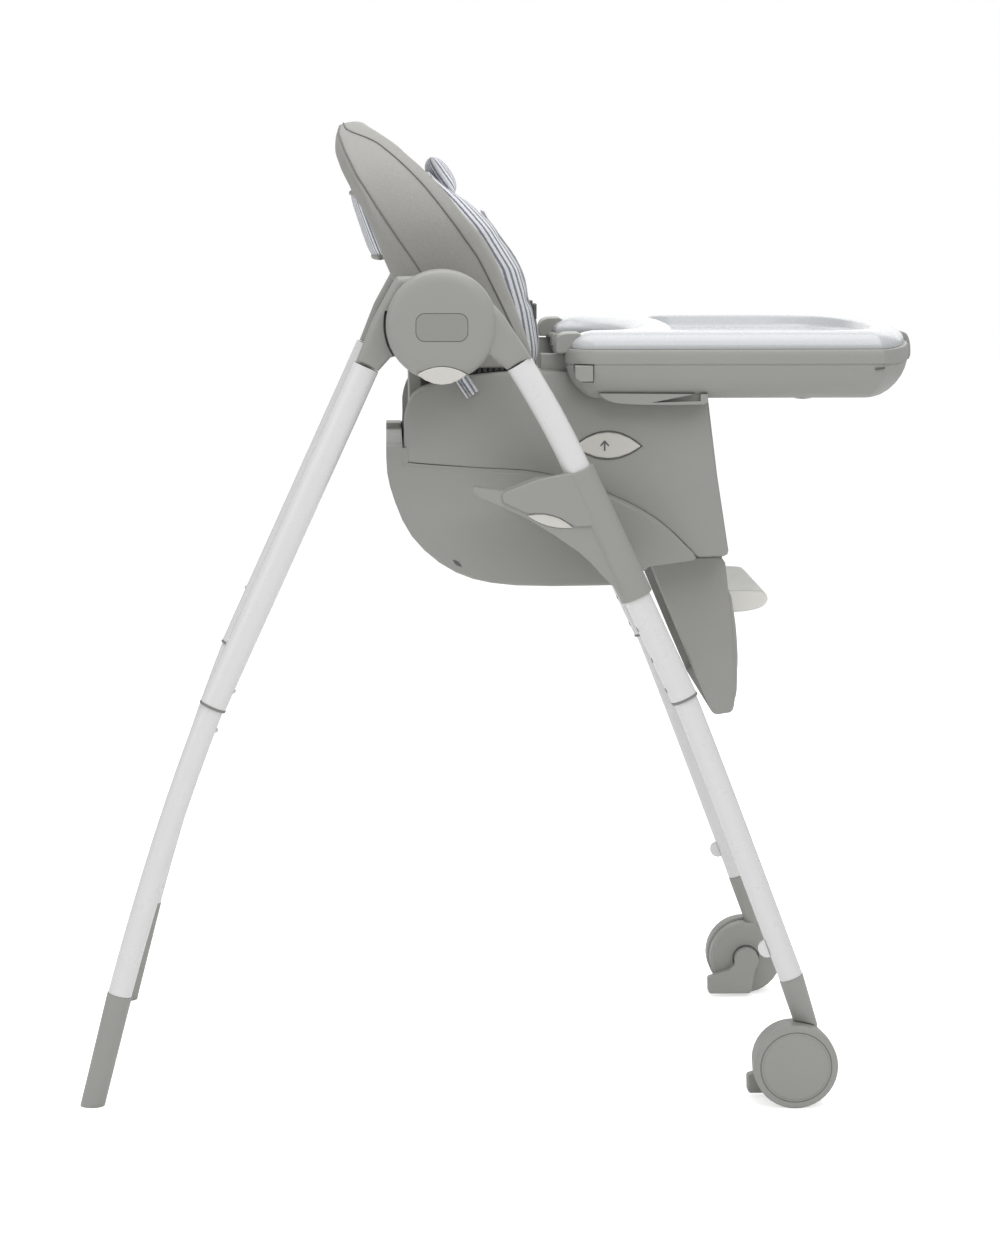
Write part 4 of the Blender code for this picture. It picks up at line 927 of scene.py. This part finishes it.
class HIGHCHAIR_OT_back_pad(bpy.types.Operator):
    """Makes the striped pad of the back with its sewn channels, and the head cushion"""

    bl_idname = "high_chair.back_pad"
    bl_label = "Back pad"

    def execute(self, context):
        half, corner = 0.1155, 0.022
        low, high = 0.714, 0.990
        channels = (0.790, 0.860, 0.925)
        rows = []
        heights = [low + (high - low) * i / 40 for i in range(41)]
        for z in heights:
            front, back = at(PAD_FRONT, z) + 0.0030, at(PAD_BACK, z) + 0.0015
            narrow = half - 0.030 * max((z - 0.93) / 0.06, 0) ** 2
            dent = max(0.0, *(1 - abs(z - c) / 0.005 for c in channels)) * 0.0045
            ring = []
            for i in range(29):
                u = -1 + 2 * i / 28
                y = narrow * math.sin(math.pi / 2 * u)
                reach = min(narrow - abs(y), corner)
                round_off = corner - math.sqrt(max(corner ** 2 - (corner - reach) ** 2, 0))
                ring.append(Vector((front - round_off - dent * (abs(y) < narrow - 0.01), y, z)))
            side = [Vector((front - corner + (back - front + corner) * i / 5, narrow, z))
                    for i in range(1, 6)]
            rear = [Vector((back, narrow * (1 - 2 * i / 8), z)) for i in range(1, 9)]
            other = [Vector((p.x, -narrow, z)) for p in reversed(side[:-1])]
            rows.append(ring + side + rear + other + [ring[0]])
        ends = []
        for row, lift in ((rows[0], -0.004), (rows[-1], 0.009)):
            middle = sum(p.x for p in row) / len(row)
            ends.append([[Vector((middle + (p.x - middle) * k, p.y * (0.97 + 0.03 * k),
                                  p.z + lift * (1 - k * k))) for p in row]
                         for k in (0.8, 0.45, 0.08)])
        rows = list(reversed(ends[0])) + rows + ends[1]
        bm = skin(rows, closed=True)
        bmesh.ops.holes_fill(bm, edges=[e for e in bm.edges if e.is_boundary], sides=0)
        bmesh.ops.recalc_face_normals(bm, faces=bm.faces)
        pad = piece("striped_back_pad", bm, "striped_fabric", "backrest", ["back_pad"], sharp=80,
                    weighted=False)

        def pinned(co):
            flat = co.x < at(PAD_BACK, co.z) + 0.004
            return flat or any(abs(co.z - c) < 0.0036 for c in channels)

        inflate(pad, 4.0, 0.007, pinned)
        rounded(pad, 1)
        centre, lean = Vector((-0.0640, 0, 0.9935)), math.radians(35)
        up = Vector((-math.sin(lean), 0, math.cos(lean)))
        out = Vector((math.cos(lean), 0, math.sin(lean)))

        def place(u, v, height):
            waist = 1 - 0.10 * (1 - abs(u)) ** 2
            across = Vector((0, 0.083 * u * (1 - 0.05 * (1 - v * v)), 0))
            return centre + across + up * 0.0235 * v * waist + out * (height + 0.002 * u * u)

        head = piece("head_cushion", pillow(place, 0.012, 0.012, 26, 12, 3.0), "striped_fabric",
                     "backrest", sharp=80, weighted=False)
        inflate(head, 5.0, 0.004, lambda co: abs(out.dot(co - centre)) < 0.0005)
        rounded(head, 2)
        return {"FINISHED"}


class HIGHCHAIR_OT_rear_pocket(bpy.types.Operator):
    """Makes the striped pocket behind the back, with its bound edges"""

    bl_idname = "high_chair.rear_pocket"
    bl_label = "Rear pocket"

    def execute(self, context):
        def rear(z, proud):
            return at(BACK_REAR, z) - proud

        low, high, half = 0.903, 0.978, 0.109

        def place(u, v, height):
            z = (low + high) / 2 + (high - low) / 2 * v
            sag = 0.0060 * (1 - u ** 4) * (1 - 0.3 * v)
            return Vector((rear(z, 0.0015 + height + sag), half * u, z))

        pocket = piece("striped_pocket", pillow(place, 0.0075, 0.0010, 36, 12, 6.0),
                       "striped_fabric", "backrest", ["rear_pocket"], sharp=80, weighted=False)
        rounded(pocket, 1)
        bands = []
        for z, proud in ((high - 0.003, 0.0100), (low + 0.003, 0.0125)):
            line = [Vector((rear(z, proud - 0.0080 * abs(t) ** 5), half * t * 1.005, z))
                    for t in (-1 + 2 * i / 24 for i in range(25))]
            bands.append(tube(line, 0.0030))
        piece("pocket_binding", joined(*bands), "leatherette", "backrest", weighted=False)
        return {"FINISHED"}


class HIGHCHAIR_OT_liner(bpy.types.Operator):
    """Hangs the liner's two striped flaps down the seat's sides, under the hubs"""

    bl_idname = "high_chair.liner"
    bl_label = "Liner flaps"

    def execute(self, context):
        line = smooth([(-0.0500, 0.7900), (-0.0440, 0.7800), (-0.0370, 0.7690), (-0.0330, 0.7630)], 3)
        for side, sign in SIDES:
            rows = []
            for x, z in line:
                rows.append([(x + 0.0062 * t, sign * (0.1985 + 0.0030 * math.sin(5 * t + z * 90)),
                              z + 0.004 * t) for t in (-1, -0.6, -0.2, 0.2, 0.6, 1)])
            flap = piece(f"liner_flap_{side}", skin(rows), "striped_fabric", "seat", weighted=False)
            wall = flap.modifiers.new("thickness", "SOLIDIFY")
            wall.thickness = 0.0016
        return {"FINISHED"}


def strap(line, width, out, across=Vector((0, 1, 0))):
    """Flat webbing along a line in space, with its width across it and its thickness outwards."""
    half, rise = across * width / 2, out * WEBBING_THICKNESS
    rows = []
    for a in (Vector(point) for point in line):
        rows.append([a - half, a + half, a + half + rise, a - half + rise, a - half])
    bm = skin(rows)
    bmesh.ops.remove_doubles(bm, verts=bm.verts, dist=1e-6)
    bmesh.ops.holes_fill(bm, edges=bm.edges, sides=4)
    bmesh.ops.recalc_face_normals(bm, faces=bm.faces)
    return bm


def eased(values):
    """Each value as the mean of itself and its neighbours."""
    spans = [values[max(i - 1, 0):i + 2] for i in range(len(values))]
    return [sum(span) / len(span) for span in spans]


class HIGHCHAIR_OT_harness(bpy.types.Operator):
    """Lays the five-point harness over the pad and the seat, with its slides"""

    bl_idname = "high_chair.harness"
    bl_label = "Harness"

    def execute(self, context):
        width = context.scene.high_chair_sizes.webbing
        front = surface_of(bpy.data.objects["striped_back_pad"])
        low, high, steps = 0.745, 0.955, 25
        heights = [low + (high - low) * i / steps for i in range(steps + 1)]
        straps, slides = [], []
        for _, sign in SIDES:
            y = sign * 0.049
            laid = []
            for z in heights:
                hit = front.ray_cast(Vector((0.3, y, z)), Vector((-1, 0, 0)))
                laid.append((hit[0].x if hit[0] else at(PAD_FRONT, z)) + 0.0006)
            lifted = [max(pair) for pair in zip(eased(laid), laid)]
            points = [(x, y, z) for x, z in zip(lifted, heights)]
            straps.append(strap(points, width, Vector((1, 0, 0.2))))
            x, z = lifted[12] + 0.0012, heights[12]
            slide = [(x, z - 0.008), (x + 0.0035, z - 0.008), (x + 0.0035, z + 0.008), (x, z + 0.008)]
            slides.append(extruded(slide, y - width / 2 - 0.003, y + width / 2 + 0.003, 0.0012, 2))
        piece("shoulder_webbing", joined(*straps), "webbing", "backrest", ["shoulder_straps"],
              weighted=False)
        piece("shoulder_slides", joined(*slides), "dark_plastic", "backrest")
        top = surface_of(bpy.data.objects["seat_cushion_cover"])
        lap_x, lap_half, steps = 0.0330, 0.150, 30
        places = [lap_half * (2 * i / steps - 1) for i in range(steps + 1)]
        laid = []
        for y in places:
            hit = top.ray_cast(Vector((lap_x, y, 0.9)), Vector((0, 0, -1)))
            laid.append((hit[0].z if hit[0] else 0.704) + 0.0004)
        up = Vector((0, 0, 1))
        belt = strap([(lap_x, y, z) for y, z in zip(places, eased(laid))], width, up,
                     Vector((1, 0, 0)))
        crotch = [(0.0400, 0, 0.7062), (0.0560, 0, 0.7066), (0.0700, 0, 0.7072), (0.0775, 0, 0.7095),
                  (0.0800, 0, 0.7150), (0.0780, 0, 0.7172)]
        between = strap(smooth(crotch, 3), width, up)
        piece("lap_webbing", joined(belt, between), "webbing", "seat", ["lap_straps"],
              weighted=False)
        return {"FINISHED"}


# ---------------------------------------------------------------- seat
class HIGHCHAIR_OT_seat(bpy.types.Operator):
    """Makes the padded seat cushion with its piped edge"""

    bl_idname = "high_chair.seat"
    bl_label = "Seat cushion"

    def execute(self, context):
        sizes = context.scene.high_chair_sizes
        low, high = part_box("seat_cushion")
        middle = (low + high) / 2
        half_x, half_y = (high.x - low.x) / 2 - 0.001, (high.y - low.y) / 2 - 0.001
        seam_z = low.z + 0.016

        def place(u, v, height):
            pull = 1 - 0.012 * (1 - u * u) * abs(v) ** 4
            side = 1 - 0.010 * (1 - v * v) * abs(u) ** 4
            return Vector((middle.x + half_x * v * pull, half_y * u * side, seam_z + height))

        cushion = piece("seat_cushion_cover",
                        pillow(place, high.z - seam_z - 0.003, 0.0155, 40, 30, 9.0),
                        "leatherette", "seat", ["seat_cushion"], sharp=80, weighted=False)
        flat = low.z + 0.002

        def pinned(co):
            channel = abs(co.x - 0.10) < 0.004 and co.z > seam_z
            return co.z < flat or abs(co.z - seam_z) < 0.0006 or channel

        inflate(cushion, 5.0, 0.004, pinned)
        rounded(cushion, 1)
        edge = []
        for i in range(65):
            a = 2 * math.pi * i / 64
            u, v = [math.copysign(abs(w) ** 0.22, w) for w in (math.cos(a), math.sin(a))]
            edge.append(place(u, v, 0.0))
        piece("seat_piping", tube(edge, sizes.piping, 8), "piping", "seat", weighted=False)
        return {"FINISHED"}


class HIGHCHAIR_OT_release_marks(bpy.types.Operator):
    """Adds the arrow on each seat release and the dark rim round it"""

    bl_idname = "high_chair.release_marks"
    bl_label = "Release marks"

    def execute(self, context):
        x, z, face, scale = 0.1075, 0.7085, 0.1996, 0.72
        half = [(0.0, 0.0085), (-0.0070, 0.0005), (-0.0055, -0.0010), (-0.0012, 0.0037),
                (-0.0012, -0.0075)]
        whole = half + [(-a, b) for a, b in reversed(half[1:])]
        arrow = [(x + scale * a, z + scale * b) for a, b in reversed(whole)]
        rim = leaf((0.1110, 0.7080), 0.0368, 0.0162, 0.0142)
        for side, sign in SIDES:
            piece(f"release_arrow_{side}", on_side(arrow, sign, face - 0.0010, face + 0.0003),
                  "dark_plastic", f"seat_release_{side}")
            line = [(px, sign * (face - 0.0014), pz) for px, pz in rim + rim[:1]]
            piece(f"release_rim_{side}", tube(line, 0.0007, 8), "dark_plastic", "seat",
                  weighted=False)
        return {"FINISHED"}


class HIGHCHAIR_OT_tub(bpy.types.Operator):
    """Makes the seat's lower shell, cut low behind, with its gaskets, and dark leaves of painted shade
    where its drain slots are
    """

    bl_idname = "high_chair.tub"
    bl_label = "Seat tub"

    def execute(self, context):
        bm = bmesh.new()
        bm.from_mesh(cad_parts["seat_lower_shell"].data)
        bmesh.ops.remove_doubles(bm, verts=bm.verts, dist=1e-5)
        tub = piece("seat_tub", bm, "grey_plastic", "seat", ["seat_lower_shell"], sharp=28)
        rear_wall, edge = -0.1052, 0.7075
        above = [(-0.1700, edge), (rear_wall, edge), (rear_wall, 0.8000), (-0.1700, 0.8000)]
        carve(tub, extruded(above, -0.25, 0.25))
        joint = smooth([(-0.1200, 0.6990), (-0.1070, 0.6895), (-0.0308, 0.6831), (0.0396, 0.6776),
                        (0.1123, 0.6549), (0.1649, 0.6268), (0.2040, 0.5900)], 4)
        strip = [(x, z + 0.0020) for x, z in joint] + [(x, z - 0.0016) for x, z in reversed(joint)]
        rear = [(-0.1210, 0.6990), (-0.1020, 0.6890), (-0.1020, 0.7065), (-0.1210, 0.7065)]
        hole = (-0.0497, 0.5830)
        shell = surface_of(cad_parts["seat_lower_shell"])
        hit = shell.ray_cast(Vector((hole[0], 0.4, hole[1])), Vector((0, -1, 0)))
        wall = hit[0].y if hit[0] else 0.197
        for side, sign in SIDES:
            piece(f"seat_joint_gasket_{side}", on_side(strip, sign, 0.1900, 0.1974),
                  "grey_plastic", "seat")
            piece(f"seat_rear_gasket_{side}", on_side(rear, sign, 0.1900, 0.1977),
                  "grey_plastic", "seat")
            # Painted shade: each drain slot is a dark leaf set on the wall in place of an open slot.
            drain = leaf(hole, 0.0062, 0.0020, 0.0020, -38)
            piece(f"seat_drain_{side}", on_side(drain, sign, 0.1780, wall + 0.0003),
                  "dark_plastic", "seat")
        return {"FINISHED"}


class HIGHCHAIR_OT_carriages(bpy.types.Operator):
    """Adds the raised facet of each height carriage, with the opening for its button"""

    bl_idname = "high_chair.carriages"
    bl_label = "Height carriages"

    def execute(self, context):
        facet = [(0.0214, 0.6442), (-0.0034, 0.6556), (-0.0050, 0.6620), (-0.0015, 0.6668),
                 (0.0323, 0.6797), (0.0609, 0.6859), (0.0835, 0.6872), (0.0905, 0.6700),
                 (0.0950, 0.6420), (0.0940, 0.6330), (0.0880, 0.6300), (0.0712, 0.6300),
                 (0.0575, 0.6386), (0.0400, 0.6436)]
        opening = leaf((0.0458, 0.6352), 0.0256, 0.0074, 0.0060, -15)
        for side, sign in SIDES:
            plate = piece(f"carriage_facet_{side}", on_side(facet, sign, 0.2700, 0.2772, 0.0026),
                          "grey_plastic", "seat", sharp=50)
            carve(plate, on_side(opening, sign, 0.26, 0.29))
        return {"FINISHED"}


class HIGHCHAIR_OT_calf_rest(bpy.types.Operator):
    """Makes the padded leatherette front of the calf rest"""

    bl_idname = "high_chair.calf_rest"
    bl_label = "Calf rest"

    def execute(self, context):
        front = [(0.415, 0.2530), (0.4260, 0.2551), (0.4664, 0.2542), (0.5294, 0.2487), (0.5500, 0.2466)]

        def place(u, v, height):
            z = 0.4830 + 0.0600 * v
            return Vector((at(front, z) + 0.0006 + height, 0.138 * u * (1 - 0.02 * (1 - v * v)), z))

        pad = piece("calf_pad", pillow(place, 0.0065, 0.0004, 34, 16, 8.0), "leatherette", "calf_rest",
                    sharp=80, weighted=False)
        inflate(pad, 3.0, 0.0025, lambda co: co.x < at(front, co.z) + 0.0012)
        rounded(pad, 1)
        return {"FINISHED"}


class HIGHCHAIR_OT_footrest(bpy.types.Operator):
    """Makes the footrest: a thin cream step with a rounded nose"""

    bl_idname = "high_chair.footrest"
    bl_label = "Footrest"

    def execute(self, context):
        half = 0.1145
        step = smooth([(0.2470, 0.5168), (0.2700, 0.5183), (0.2855, 0.5220), (0.2925, 0.5275),
                       (0.2938, 0.5335), (0.2905, 0.5392), (0.2820, 0.5420), (0.2470, 0.5425)], 4)
        piece("footrest_step", extruded(step, -half, half, 0.005, 4), "footrest_cream", "footrest",
              ["footrest"], sharp=50)
        return {"FINISHED"}


# ---------------------------------------------------------------- tray
def tray_reach(share, inset):
    """How far forwards the tray goes, at a share of its half width."""
    shoulder = TRAY_SHOULDER - inset * 0.4
    return shoulder + (TRAY_FRONT - inset * 0.6 - TRAY_SHOULDER) * (1 - abs(share) ** 1.4) ** 0.62


def tray_plan(inset=0.0, height=0.0, hollow=False):
    """The tray from above, pulled in by a distance: straight sides, a bowed front, a belly recess.

    The hollow under the tray ends in front of the recess and of the two arms beside it.
    """
    half, rear, recess = TRAY_HALF - inset, TRAY_REAR + inset, 0.150 + inset
    corner, depth = max(0.032 - inset, 0.004), 0.075
    if hollow:
        rear, corner, depth = TRAY_REAR + 0.088 + 0.3 * inset, 0.020, 0.004
        recess = half - corner - 0.018
    front = []
    for i in range(33):
        t = math.sin(math.pi / 2 * (-1 + 2 * i / 32))
        front.append((tray_reach(t, inset), t * half))
    left = [(0.30, half), (0.20, half)] + arc((rear + corner, half - corner), corner, 90, 180, 10)
    left += [(rear, recess + 0.014)]
    inner = []
    for i in range(33):
        t = math.sin(math.pi / 2 * (1 - 2 * i / 32))
        inner.append((rear + 0.004 + depth * (1 - t * t) ** 0.5, t * recess))
    right = [(x, -y) for x, y in reversed(left)]
    return [(x, y, height) for x, y in front + left + inner + right]


def dish_plan(inset, height, count=72):
    """The insert's dish from above: a rounded outline whose rear edge bows round the child."""
    points = []
    for i in range(count):
        a = 2 * math.pi * i / count
        u, v = [math.copysign(abs(w) ** 0.42, w) for w in (math.cos(a), math.sin(a))]
        rear = 0.1860 - 0.0330 * abs(v) ** 3 + inset
        front = tray_reach(0.86 * v, 0.036) - 0.006 - inset
        points.append((rear + (front - rear) * (u + 1) / 2, v * (TRAY_HALF - 0.036 - inset), height))
    return points


def ring_between(outer, inner):
    """A flat face between two outlines at one height."""
    bm = bmesh.new()
    edges = []
    for ring in (outer, inner):
        verts = [bm.verts.new(p) for p in ring]
        edges += [bm.edges.new(pair) for pair in zip(verts, verts[1:] + verts[:1])]
    bmesh.ops.triangle_fill(bm, use_beauty=True, use_dissolve=False, edges=edges, normal=(0, 0, 1))
    return bm


class HIGHCHAIR_OT_tray(bpy.types.Operator):
    """Makes the tray's body, its lift-out insert, its latch covers, clips and rear blocks"""

    bl_idname = "high_chair.tray"
    bl_label = "Tray"

    def execute(self, context):
        hollow = [(0.0500, 0.8060), (0.0500, 0.7640), (0.0470, 0.7600), (0.0400, TRAY_BOTTOM)]
        walls = [(0.0330, 0.7597), (0.0270, 0.7612), (0.0200, 0.7650), (0.0130, 0.7710),
                 (0.0075, 0.7780), (0.0035, 0.7860), (0.0012, 0.7945), (0.0017, 0.7953),
                 (0.0017, 0.7968), (0.0004, 0.7976), (0.0, 0.8040), (0.0004, 0.8095),
                 (0.0018, 0.8118), (0.0040, TRAY_TOP), (0.0090, TRAY_TOP)]
        rings = [tray_plan(inset, z, hollow=True) for inset, z in hollow]
        rings += [tray_plan(inset, z) for inset, z in walls]
        body = piece("tray_tub", stack(rings), "grey_plastic", "tray", ["tray_body"], sharp=40)
        latch_notch = [(0.02, 0.70), (0.10, 0.70), (0.10, 0.8070), (0.02, 0.8070)]
        thumb_recess = [(0.1560, 0.7579), (0.2071, 0.7585), (0.2071, 0.7663)]
        button_pocket = [(0.0724, 0.7778), (0.0936, 0.7778), (0.0936, 0.7972), (0.0724, 0.7972)]
        for _, sign in SIDES:
            carve(body, on_side(latch_notch, sign, 0.156, 0.204))
            carve(body, on_side(thumb_recess, sign, 0.2290, 0.26))
            carve(body, on_side(button_pocket, sign, 0.2250, 0.26))
        for side, sign in SIDES:
            cover = smooth([(0.1000, 0.7640), (0.1080, 0.7585), (0.1200, 0.7552), (0.1400, 0.7538),
                            (0.1700, 0.7534), (0.2110, 0.7538)], 4)
            cover += [(0.2149, 0.7560), (0.2149, 0.7650), (0.1000, 0.7660)]
            latch = piece(f"tray_latch_cover_{side}", on_side(cover, sign, 0.2010, 0.2255, 0.0035, 4),
                          "grey_plastic", "tray", sharp=50)
            wedge = [(0.1550, 0.7560), (0.2071, 0.7575), (0.2071, 0.7663)]
            carve(latch, on_side(wedge, sign, 0.2180, 0.26))
        base = TRAY_TOP + 0.0003
        crest = base + 0.0178
        rim = [(0.0060, base), (0.0056, base + 0.0030), (0.0066, base + 0.0064),
               (0.0100, base + 0.0102), (0.0150, base + 0.0136), (0.0210, base + 0.0160),
               (0.0270, base + 0.0174), (0.0320, crest)]
        outer = stack([tray_plan(inset, z) for inset, z in rim], close_end=False)
        dish = [(0.0, crest), (0.0020, crest - 0.0006), (0.0038, crest - 0.0024),
                (0.0060, base + 0.0090), (0.0080, base + 0.0058), (0.0105, base + 0.0044),
                (0.0140, base + 0.0040)]
        well = stack([dish_plan(inset, z) for inset, z in dish], close_start=False)
        top = ring_between(tray_plan(*rim[-1]), dish_plan(*dish[0]))
        insert = joined(outer, well, top)
        bmesh.ops.remove_doubles(insert, verts=insert.verts, dist=1e-5)
        bmesh.ops.recalc_face_normals(insert, faces=insert.faces)
        piece("tray_white_insert", insert, "tray_white", "tray_insert", ["tray_insert"], sharp=40)
        for side, sign in SIDES:
            block = smooth([(0.0552, 0.8078), (0.0540, 0.8150), (0.0565, 0.8240), (0.0640, 0.8285),
                            (0.0780, 0.8290)], 4) + [(0.0860, 0.8250), (0.0860, 0.8078)]
            piece(f"tray_rear_block_{side}", on_side(block[::-1], sign, 0.1700, 0.2150, 0.004),
                  "grey_plastic", "tray")
            # Painted shade: each clip slot is a thin dark plate on the tray's side in place of an open
            # slot.
            slot = [(0.3900, 0.7905), (0.4000, 0.7920), (0.4000, 0.7936), (0.3900, 0.7922)]
            piece(f"tray_clip_slot_{side}", on_side(slot, sign, 0.2150, 0.2402), "dark_plastic",
                  "tray")
        clip = smooth([(0.4470, 0.7900), (0.4590, 0.7912), (0.4602, 0.8060), (0.4560, 0.8190),
                       (0.4460, 0.8225)], 3)
        piece("tray_front_clip", extruded(clip, -0.030, 0.030, 0.002), "grey_plastic", "tray")
        return {"FINISHED"}


# ---------------------------------------------------------------- studio
class HIGHCHAIR_OT_studio(bpy.types.Operator):
    """Adds the pale floor, the soft lights and the camera"""

    bl_idname = "high_chair.studio"
    bl_label = "Studio"

    def execute(self, context):
        scene = context.scene
        bm = bmesh.new()
        bmesh.ops.create_circle(bm, cap_ends=True, radius=14.0, segments=96)
        mesh = bpy.data.meshes.new("floor")
        bm.to_mesh(mesh)
        bm.free()
        floor = bpy.data.objects.new("floor", mesh)
        scene.collection.objects.link(floor)
        tree, shader, _ = new_material("floor", (0.93, 0.93, 0.93), 0.9, specular=0.1)
        shader.inputs["Emission Color"].default_value = (1, 1, 1, 1)
        glow = tree.nodes.new("ShaderNodeMapRange")
        glow.inputs["To Min"].default_value = 0.06
        glow.inputs["To Max"].default_value = 0.58
        seen = tree.nodes.new("ShaderNodeLightPath")
        tree.links.new(seen.outputs["Is Camera Ray"], glow.inputs["Value"])
        tree.links.new(glow.outputs[0], shader.inputs["Emission Strength"])
        mesh.materials.append(bpy.data.materials["floor"])
        world = bpy.data.worlds.new("studio")
        world.use_nodes = True
        nodes = world.node_tree
        back = nodes.nodes["Background"]
        back.inputs["Color"].default_value = (1, 1, 1, 1)
        path = nodes.nodes.new("ShaderNodeLightPath")
        level = nodes.nodes.new("ShaderNodeMapRange")
        level.inputs["To Min"].default_value = 0.50
        level.inputs["To Max"].default_value = 1.0
        nodes.links.new(path.outputs["Is Camera Ray"], level.inputs["Value"])
        nodes.links.new(level.outputs[0], back.inputs["Strength"])
        scene.world = world
        for name, place, size, power in (
            ("key", (0.8, -2.3, 3.1), 2.4, 38.0),
            ("fill", (-2.6, -1.6, 1.8), 2.2, 14.0),
            ("top", (0.0, 0.3, 3.2), 2.6, 44.0),
            ("behind", (0.6, 3.0, 2.0), 2.4, 16.0),
        ):
            light = bpy.data.lights.new(name, "AREA")
            light.size = size
            light.energy = power
            lamp = bpy.data.objects.new(name, light)
            lamp.location = place
            way = Vector((0, 0, 0.6)) - lamp.location
            lamp.rotation_euler = way.to_track_quat("-Z", "Y").to_euler()
            scene.collection.objects.link(lamp)
        camera = bpy.data.cameras.new("camera")
        camera.lens = 94.03
        camera.sensor_fit = "AUTO"
        camera.sensor_width = 36
        camera.clip_end = 100
        eye = bpy.data.objects.new("camera", camera)
        eye.location = (-0.124, -3.665, 0.989)
        eye.rotation_euler = (math.radians(90 - 7.7613), 0, math.radians(-1.9814))
        scene.collection.objects.link(eye)
        scene.camera = eye
        scene.view_settings.view_transform = "Standard"
        return {"FINISHED"}


class HIGHCHAIR_PT_panel(bpy.types.Panel):
    """Lists the chair's sizes, colours and pieces"""

    bl_idname = "HIGHCHAIR_PT_panel"
    bl_label = "High Chair"
    bl_space_type = "VIEW_3D"
    bl_region_type = "UI"
    bl_category = "High Chair"

    def draw(self, context):
        for owner in (context.scene.high_chair_sizes, context.scene.high_chair_colours):
            for name in owner.bl_rna.properties.keys():
                if name not in ("rna_type", "name"):
                    self.layout.prop(owner, name)
        for operator in OPERATORS:
            self.layout.operator(operator.bl_idname)


OPERATORS = (
    HIGHCHAIR_OT_materials,
    HIGHCHAIR_OT_kept,
    HIGHCHAIR_OT_hubs,
    HIGHCHAIR_OT_legs,
    HIGHCHAIR_OT_castors,
    HIGHCHAIR_OT_back_cover,
    HIGHCHAIR_OT_back_pad,
    HIGHCHAIR_OT_rear_pocket,
    HIGHCHAIR_OT_liner,
    HIGHCHAIR_OT_seat,
    HIGHCHAIR_OT_release_marks,
    HIGHCHAIR_OT_harness,
    HIGHCHAIR_OT_tub,
    HIGHCHAIR_OT_carriages,
    HIGHCHAIR_OT_footrest,
    HIGHCHAIR_OT_calf_rest,
    HIGHCHAIR_OT_tray,
    HIGHCHAIR_OT_studio,
)
CLASSES = (HighChairSizes, HighChairColours, *OPERATORS, HIGHCHAIR_PT_panel)


def register():
    for cls in CLASSES:
        bpy.utils.register_class(cls)
    bpy.types.Scene.high_chair_sizes = PointerProperty(type=HighChairSizes)
    bpy.types.Scene.high_chair_colours = PointerProperty(type=HighChairColours)


def unregister():
    del bpy.types.Scene.high_chair_colours
    del bpy.types.Scene.high_chair_sizes
    for cls in reversed(CLASSES):
        bpy.utils.unregister_class(cls)


def main():
    for name in ("Cube", "Light", "Camera"):
        if name in bpy.data.objects:
            bpy.data.objects.remove(bpy.data.objects[name], do_unlink=True)
    register()
    bpy.ops.high_chair.materials()
    bpy.ops.high_chair.kept()
    bpy.ops.high_chair.hubs()
    bpy.ops.high_chair.legs()
    bpy.ops.high_chair.castors()
    bpy.ops.high_chair.back_cover()
    bpy.ops.high_chair.back_pad()
    bpy.ops.high_chair.rear_pocket()
    bpy.ops.high_chair.liner()
    bpy.ops.high_chair.seat()
    bpy.ops.high_chair.release_marks()
    bpy.ops.high_chair.harness()
    bpy.ops.high_chair.tub()
    bpy.ops.high_chair.carriages()
    bpy.ops.high_chair.footrest()
    bpy.ops.high_chair.calf_rest()
    bpy.ops.high_chair.tray()
    bpy.ops.high_chair.studio()


if __name__ == "__main__":
    main()
